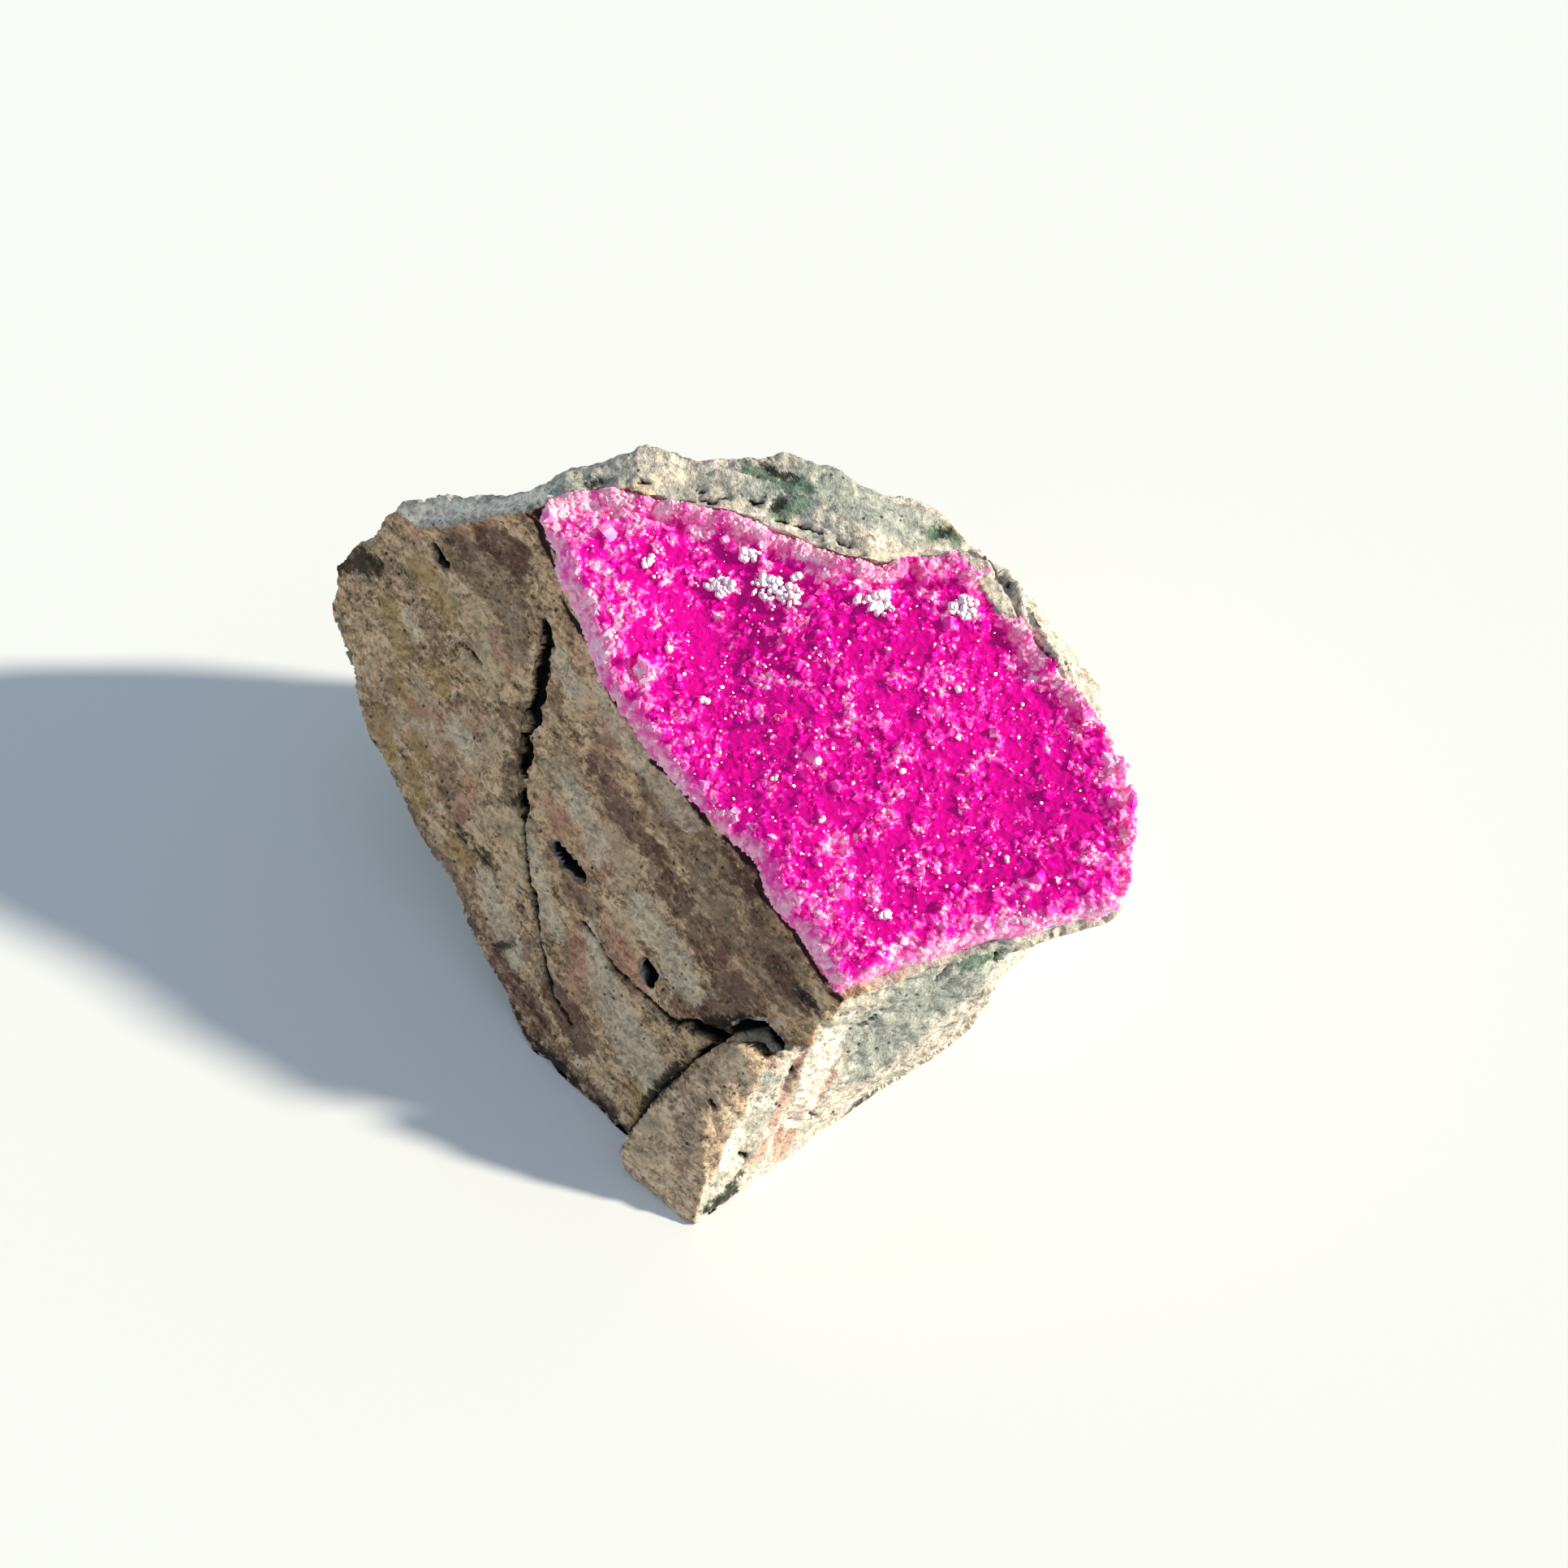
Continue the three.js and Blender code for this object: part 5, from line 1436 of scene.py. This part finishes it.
def glint_crystals(name):
    """Small tablets that stand parallel, so that their faces mirror the key light to the fixed view."""
    bed = bpy.data.objects["crust_bed"].data
    corners = [v.co / MM for v in bed.vertices]
    tree = BVHTree.FromPolygons(corners, [tuple(face.vertices) for face in bed.polygons])
    rng = np.random.default_rng(8)
    places = []
    for across, down, radius in GLINT_SPOTS:
        for _ in range(max(2, int(GLINTS_IN_A_SPOT * radius**2))):
            turn, reach = 2 * math.pi * rng.random(), radius * rng.random() ** 0.6
            places.append((across + reach * math.cos(turn), down + 0.8 * reach * math.sin(turn), 1.0))
    left, top, right, bottom = DRUSE_SPAN
    for _ in range(STRAY_GLINTS):
        across, down = left + (right - left) * rng.random(), top + (bottom - top) * rng.random()
        places.append((across, down, 0.16 + 0.34 * rng.random() ** 2))

    forward = Vector(view_axes()[3])
    halfway = (Vector(KEY_FROM).normalized() - forward).normalized()
    made = bmesh.new()
    for across, down, size in places:
        width = size * GLINT_WIDTH * (0.5 + rng.random())
        lean = Vector(rng.normal(0.0, math.radians(3.0), 3))
        stretch = 0.35 + 0.65 * rng.random()
        spin = Matrix.Rotation(2 * math.pi * rng.random(), 4, "Z")
        eye, ray = view_ray(across, down)
        hit = tree.ray_cast(Vector(eye), Vector(ray))[0]
        if hit is None:
            continue
        turn = (halfway + lean).to_track_quat("Z", "Y").to_matrix().to_4x4()
        shape = Matrix.Diagonal((width, stretch * width, 0.6 * width, 1.0))
        above = Vector((0.0, -0.4, 0.92)) * (0.12 + 0.08 * size)
        matrix = Matrix.Translation((hit + above) * MM) @ turn @ spin @ shape
        tablet = dict(segments=5, radius1=1.0, radius2=0.7, depth=1.0)
        bmesh.ops.create_cone(made, cap_ends=True, matrix=matrix, **tablet)
    mesh = bpy.data.meshes.new(name)
    made.to_mesh(mesh)
    made.free()
    piece = bpy.data.objects.new(name, mesh)
    bpy.context.scene.collection.objects.link(piece)
    return piece


def grown_crystals(name, tree, inputs):
    """A plain mesh of crystals grown from the crust's bed."""
    carrier = bpy.data.objects.new(name + "_carrier", bpy.data.objects["crust_bed"].data.copy())
    bpy.context.scene.collection.objects.link(carrier)
    growth = carrier.modifiers.new("Crystals", "NODES")
    growth.node_group = tree
    for item in tree.interface.items_tree:
        if item.item_type == "SOCKET" and item.in_out == "INPUT" and item.name in inputs:
            growth[item.identifier] = inputs[item.name]
    made = settle(carrier, name)
    places = inside_cad_box(places_of(made.data) / MM) * MM
    move_to(made.data, places)
    made.data.shade_flat()
    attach(made, "root")
    return made


# ---------------------------------------------------------------- settings


class HostRockSettings(bpy.types.PropertyGroup):
    skin_mesh: bpy.props.FloatProperty(
        name="Skin mesh", description="Width of the skin's mesh", default=0.00024, unit="LENGTH"
    )
    chip_depth: bpy.props.FloatProperty(
        name="Chip depth", description="Depth of the small chips", default=0.00034, unit="LENGTH"
    )
    crispness: bpy.props.FloatProperty(
        name="Crispness", description="How sharp the broken edges are", default=0.6, subtype="FACTOR"
    )
    tan_colour: bpy.props.FloatVectorProperty(
        name="Tan", description="Colour of the left face", default=rgb(208, 172, 132), subtype="COLOR"
    )
    cream_colour: bpy.props.FloatVectorProperty(
        name="Cream", description="Colour of the granular rock", default=rgb(210, 200, 184), subtype="COLOR"
    )


class CrustSettings(bpy.types.PropertyGroup):
    bed_mesh: bpy.props.FloatProperty(
        name="Bed mesh", description="Width of the bed's mesh", default=0.000145, unit="LENGTH"
    )
    deep_colour: bpy.props.FloatVectorProperty(
        name="Deep magenta", description="Colour of the hollows", default=rgb(214, 0, 147), subtype="COLOR"
    )
    pink_colour: bpy.props.FloatVectorProperty(
        name="Pink", description="Colour of most crystals", default=rgb(255, 6, 182), subtype="COLOR"
    )
    pale_colour: bpy.props.FloatVectorProperty(
        name="Pale pink", description="Colour of the tips", default=rgb(255, 164, 206), subtype="COLOR"
    )


class CrystalSettings(bpy.types.PropertyGroup):
    small_spacing: bpy.props.FloatProperty(
        name="Small spacing", description="Least gap between small crystals", default=0.00062, unit="LENGTH"
    )
    small_size: bpy.props.FloatProperty(
        name="Small size", description="Width of a small crystal", default=0.00058, unit="LENGTH"
    )
    large_spacing: bpy.props.FloatProperty(
        name="Large spacing", description="Least gap between large crystals", default=0.0019, unit="LENGTH"
    )
    large_size: bpy.props.FloatProperty(
        name="Large size", description="Width of a large crystal", default=0.00095, unit="LENGTH"
    )
    lean: bpy.props.FloatProperty(
        name="Lean", description="How far a crystal leans", default=0.6, subtype="ANGLE"
    )
    seed: bpy.props.IntProperty(name="Seed", description="Seed of the crystals' places", default=5)


class StageSettings(bpy.types.PropertyGroup):
    floor_colour: bpy.props.FloatVectorProperty(
        name="Floor", description="Colour of the floor", default=(0.86, 0.86, 0.84), subtype="COLOR"
    )
    floor_width: bpy.props.FloatProperty(
        name="Floor width", description="Width of the floor", default=3.0, unit="LENGTH"
    )
    key_strength: bpy.props.FloatProperty(
        name="Key light", description="Strength of the light from the right", default=5.8
    )
    fill_strength: bpy.props.FloatProperty(
        name="Fill light", description="Strength of the light from all round", default=1.0
    )


# ---------------------------------------------------------------- operators


class SPECIMEN_OT_host_rock(bpy.types.Operator):
    """Makes the host rock's skin"""

    bl_idname = "specimen.host_rock"
    bl_label = "Host rock"

    def execute(self, context):
        settings = context.scene.specimen_rock
        rock = finely_meshed("host_rock", "host_rock_skin", settings.skin_mesh / MM, ROCK_HIDDEN_SHARE)
        thinned = dress_rock(rock.data, settings)
        rock.data.materials.clear()
        rock.data.materials.append(rock_material(settings))
        finish_piece(rock, "host_rock")
        flatten_long_faces(rock.data, thinned)
        return {"FINISHED"}


class SPECIMEN_OT_crust_bed(bpy.types.Operator):
    """Makes the bed that the crystals grow from"""

    bl_idname = "specimen.crust_bed"
    bl_label = "Crust bed"

    def execute(self, context):
        settings = context.scene.specimen_crust
        bed = finely_meshed("calcite_crust", "crust_bed", settings.bed_mesh / MM, BED_HIDDEN_SHARE)
        dress_bed(bed.data)
        bed.data.materials.clear()
        bed.data.materials.append(calcite_material("calcite bed", settings, BED_GLOW))
        finish_piece(bed, "calcite_crust", smooth=False)
        return {"FINISHED"}


class SPECIMEN_OT_crystals(bpy.types.Operator):
    """Grows the crystals of the druse"""

    bl_idname = "specimen.crystals"
    bl_label = "Crystals"

    def execute(self, context):
        settings = context.scene.specimen_crystals
        tree = crystal_tree()
        kinds = crystal_kinds("crystal_kinds")
        calcite = calcite_material("calcite crystals", context.scene.specimen_crust, CRYSTAL_GLOW)
        common = {"Kinds": kinds, "Material": calcite, "Lean": settings.lean}
        small = {
            "Spacing": settings.small_spacing,
            "Smallest": 0.55 * settings.small_size,
            "Largest": 1.25 * settings.small_size,
            "Density": 2.0e7,
            "Seed": settings.seed,
        }
        large = {
            "Spacing": settings.large_spacing,
            "Smallest": 0.7 * settings.large_size,
            "Largest": 1.3 * settings.large_size,
            "Density": 6e5,
            "Seed": settings.seed + 1,
        }
        fringe = {
            "Where": "fringe",
            "Spacing": 0.45 * settings.small_spacing,
            "Smallest": 0.5 * settings.small_size,
            "Largest": 1.1 * settings.small_size,
            "Density": 6.0e7,
            "Seed": settings.seed + 2,
        }
        pieces = {"small_crystals": small, "large_crystals": large, "fringe_crystals": fringe}
        for name, inputs in pieces.items():
            made = grown_crystals(name, tree, {**common, **inputs})
        for kind in list(kinds.objects):
            bpy.data.objects.remove(kind)
        bpy.data.collections.remove(kinds)
        glints = glint_crystals("glinting_crystals")
        glints.data.materials.append(glint_material())
        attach(glints, "root")
        return {"FINISHED"}


class SPECIMEN_OT_stage(bpy.types.Operator):
    """Adds the floor, the light and the camera"""

    bl_idname = "specimen.stage"
    bl_label = "Stage"

    def execute(self, context):
        settings = context.scene.specimen_stage
        scene = context.scene
        half = settings.floor_width / 2
        mesh = bpy.data.meshes.new("floor")
        corners = [(-half, -half, 0), (half, -half, 0), (half, half, 0), (-half, half, 0)]
        mesh.from_pydata(corners, [], [(0, 1, 2, 3)])
        mesh.materials.append(floor_material(settings.floor_colour))
        floor = bpy.data.objects.new("floor", mesh)
        floor.location.z = -FLOOR_GAP
        scene.collection.objects.link(floor)

        sun = bpy.data.lights.new("key light", "SUN")
        sun.energy = settings.key_strength
        sun.angle = KEY_SPREAD
        sun.color = KEY_COLOUR
        key = bpy.data.objects.new("key light", sun)
        key.rotation_euler = Vector(KEY_FROM).to_track_quat("Z", "Y").to_euler()
        scene.collection.objects.link(key)

        world = bpy.data.worlds.new("soft fill")
        world.use_nodes = True
        background = world.node_tree.nodes["Background"]
        background.inputs["Color"].default_value = (*FILL_COLOUR, 1.0)
        background.inputs["Strength"].default_value = settings.fill_strength
        scene.world = world

        camera = bpy.data.cameras.new("camera")
        camera.sensor_width = 36.0
        camera.lens = 18.0 / math.tan(FIELD_OF_VIEW / 2)
        camera.clip_start = 0.005
        view = bpy.data.objects.new("camera", camera)
        eye, right, up, forward = view_axes()
        turn = Matrix((right, up, -forward)).transposed().to_4x4()
        view.matrix_world = Matrix.Translation(Vector(eye) * MM) @ turn
        scene.collection.objects.link(view)
        scene.camera = view
        scene.view_settings.view_transform = "Standard"
        return {"FINISHED"}


class SPECIMEN_PT_panel(bpy.types.Panel):
    """Lists the specimen's settings and what makes each piece"""

    bl_idname = "SPECIMEN_PT_panel"
    bl_label = "Specimen"
    bl_space_type = "VIEW_3D"
    bl_region_type = "UI"
    bl_category = "Specimen"

    def draw(self, context):
        scene = context.scene
        parts = (
            (SPECIMEN_OT_host_rock, scene.specimen_rock),
            (SPECIMEN_OT_crust_bed, scene.specimen_crust),
            (SPECIMEN_OT_crystals, scene.specimen_crystals),
            (SPECIMEN_OT_stage, scene.specimen_stage),
        )
        for operator, settings in parts:
            box = self.layout.box()
            for name in settings.__annotations__:
                box.prop(settings, name)
            box.operator(operator.bl_idname)


SETTINGS = {
    "specimen_rock": HostRockSettings,
    "specimen_crust": CrustSettings,
    "specimen_crystals": CrystalSettings,
    "specimen_stage": StageSettings,
}
CLASSES = (
    *SETTINGS.values(),
    SPECIMEN_OT_host_rock,
    SPECIMEN_OT_crust_bed,
    SPECIMEN_OT_crystals,
    SPECIMEN_OT_stage,
    SPECIMEN_PT_panel,
)


def register():
    for cls in CLASSES:
        bpy.utils.register_class(cls)
    for name, group in SETTINGS.items():
        setattr(bpy.types.Scene, name, bpy.props.PointerProperty(type=group))


def unregister():
    for name in SETTINGS:
        delattr(bpy.types.Scene, name)
    for cls in reversed(CLASSES):
        bpy.utils.unregister_class(cls)


def main():
    """Makes every piece and the stage."""
    register()
    bpy.ops.specimen.host_rock()
    bpy.ops.specimen.crust_bed()
    bpy.ops.specimen.crystals()
    bpy.ops.specimen.stage()


if __name__ == "__main__":
    main()
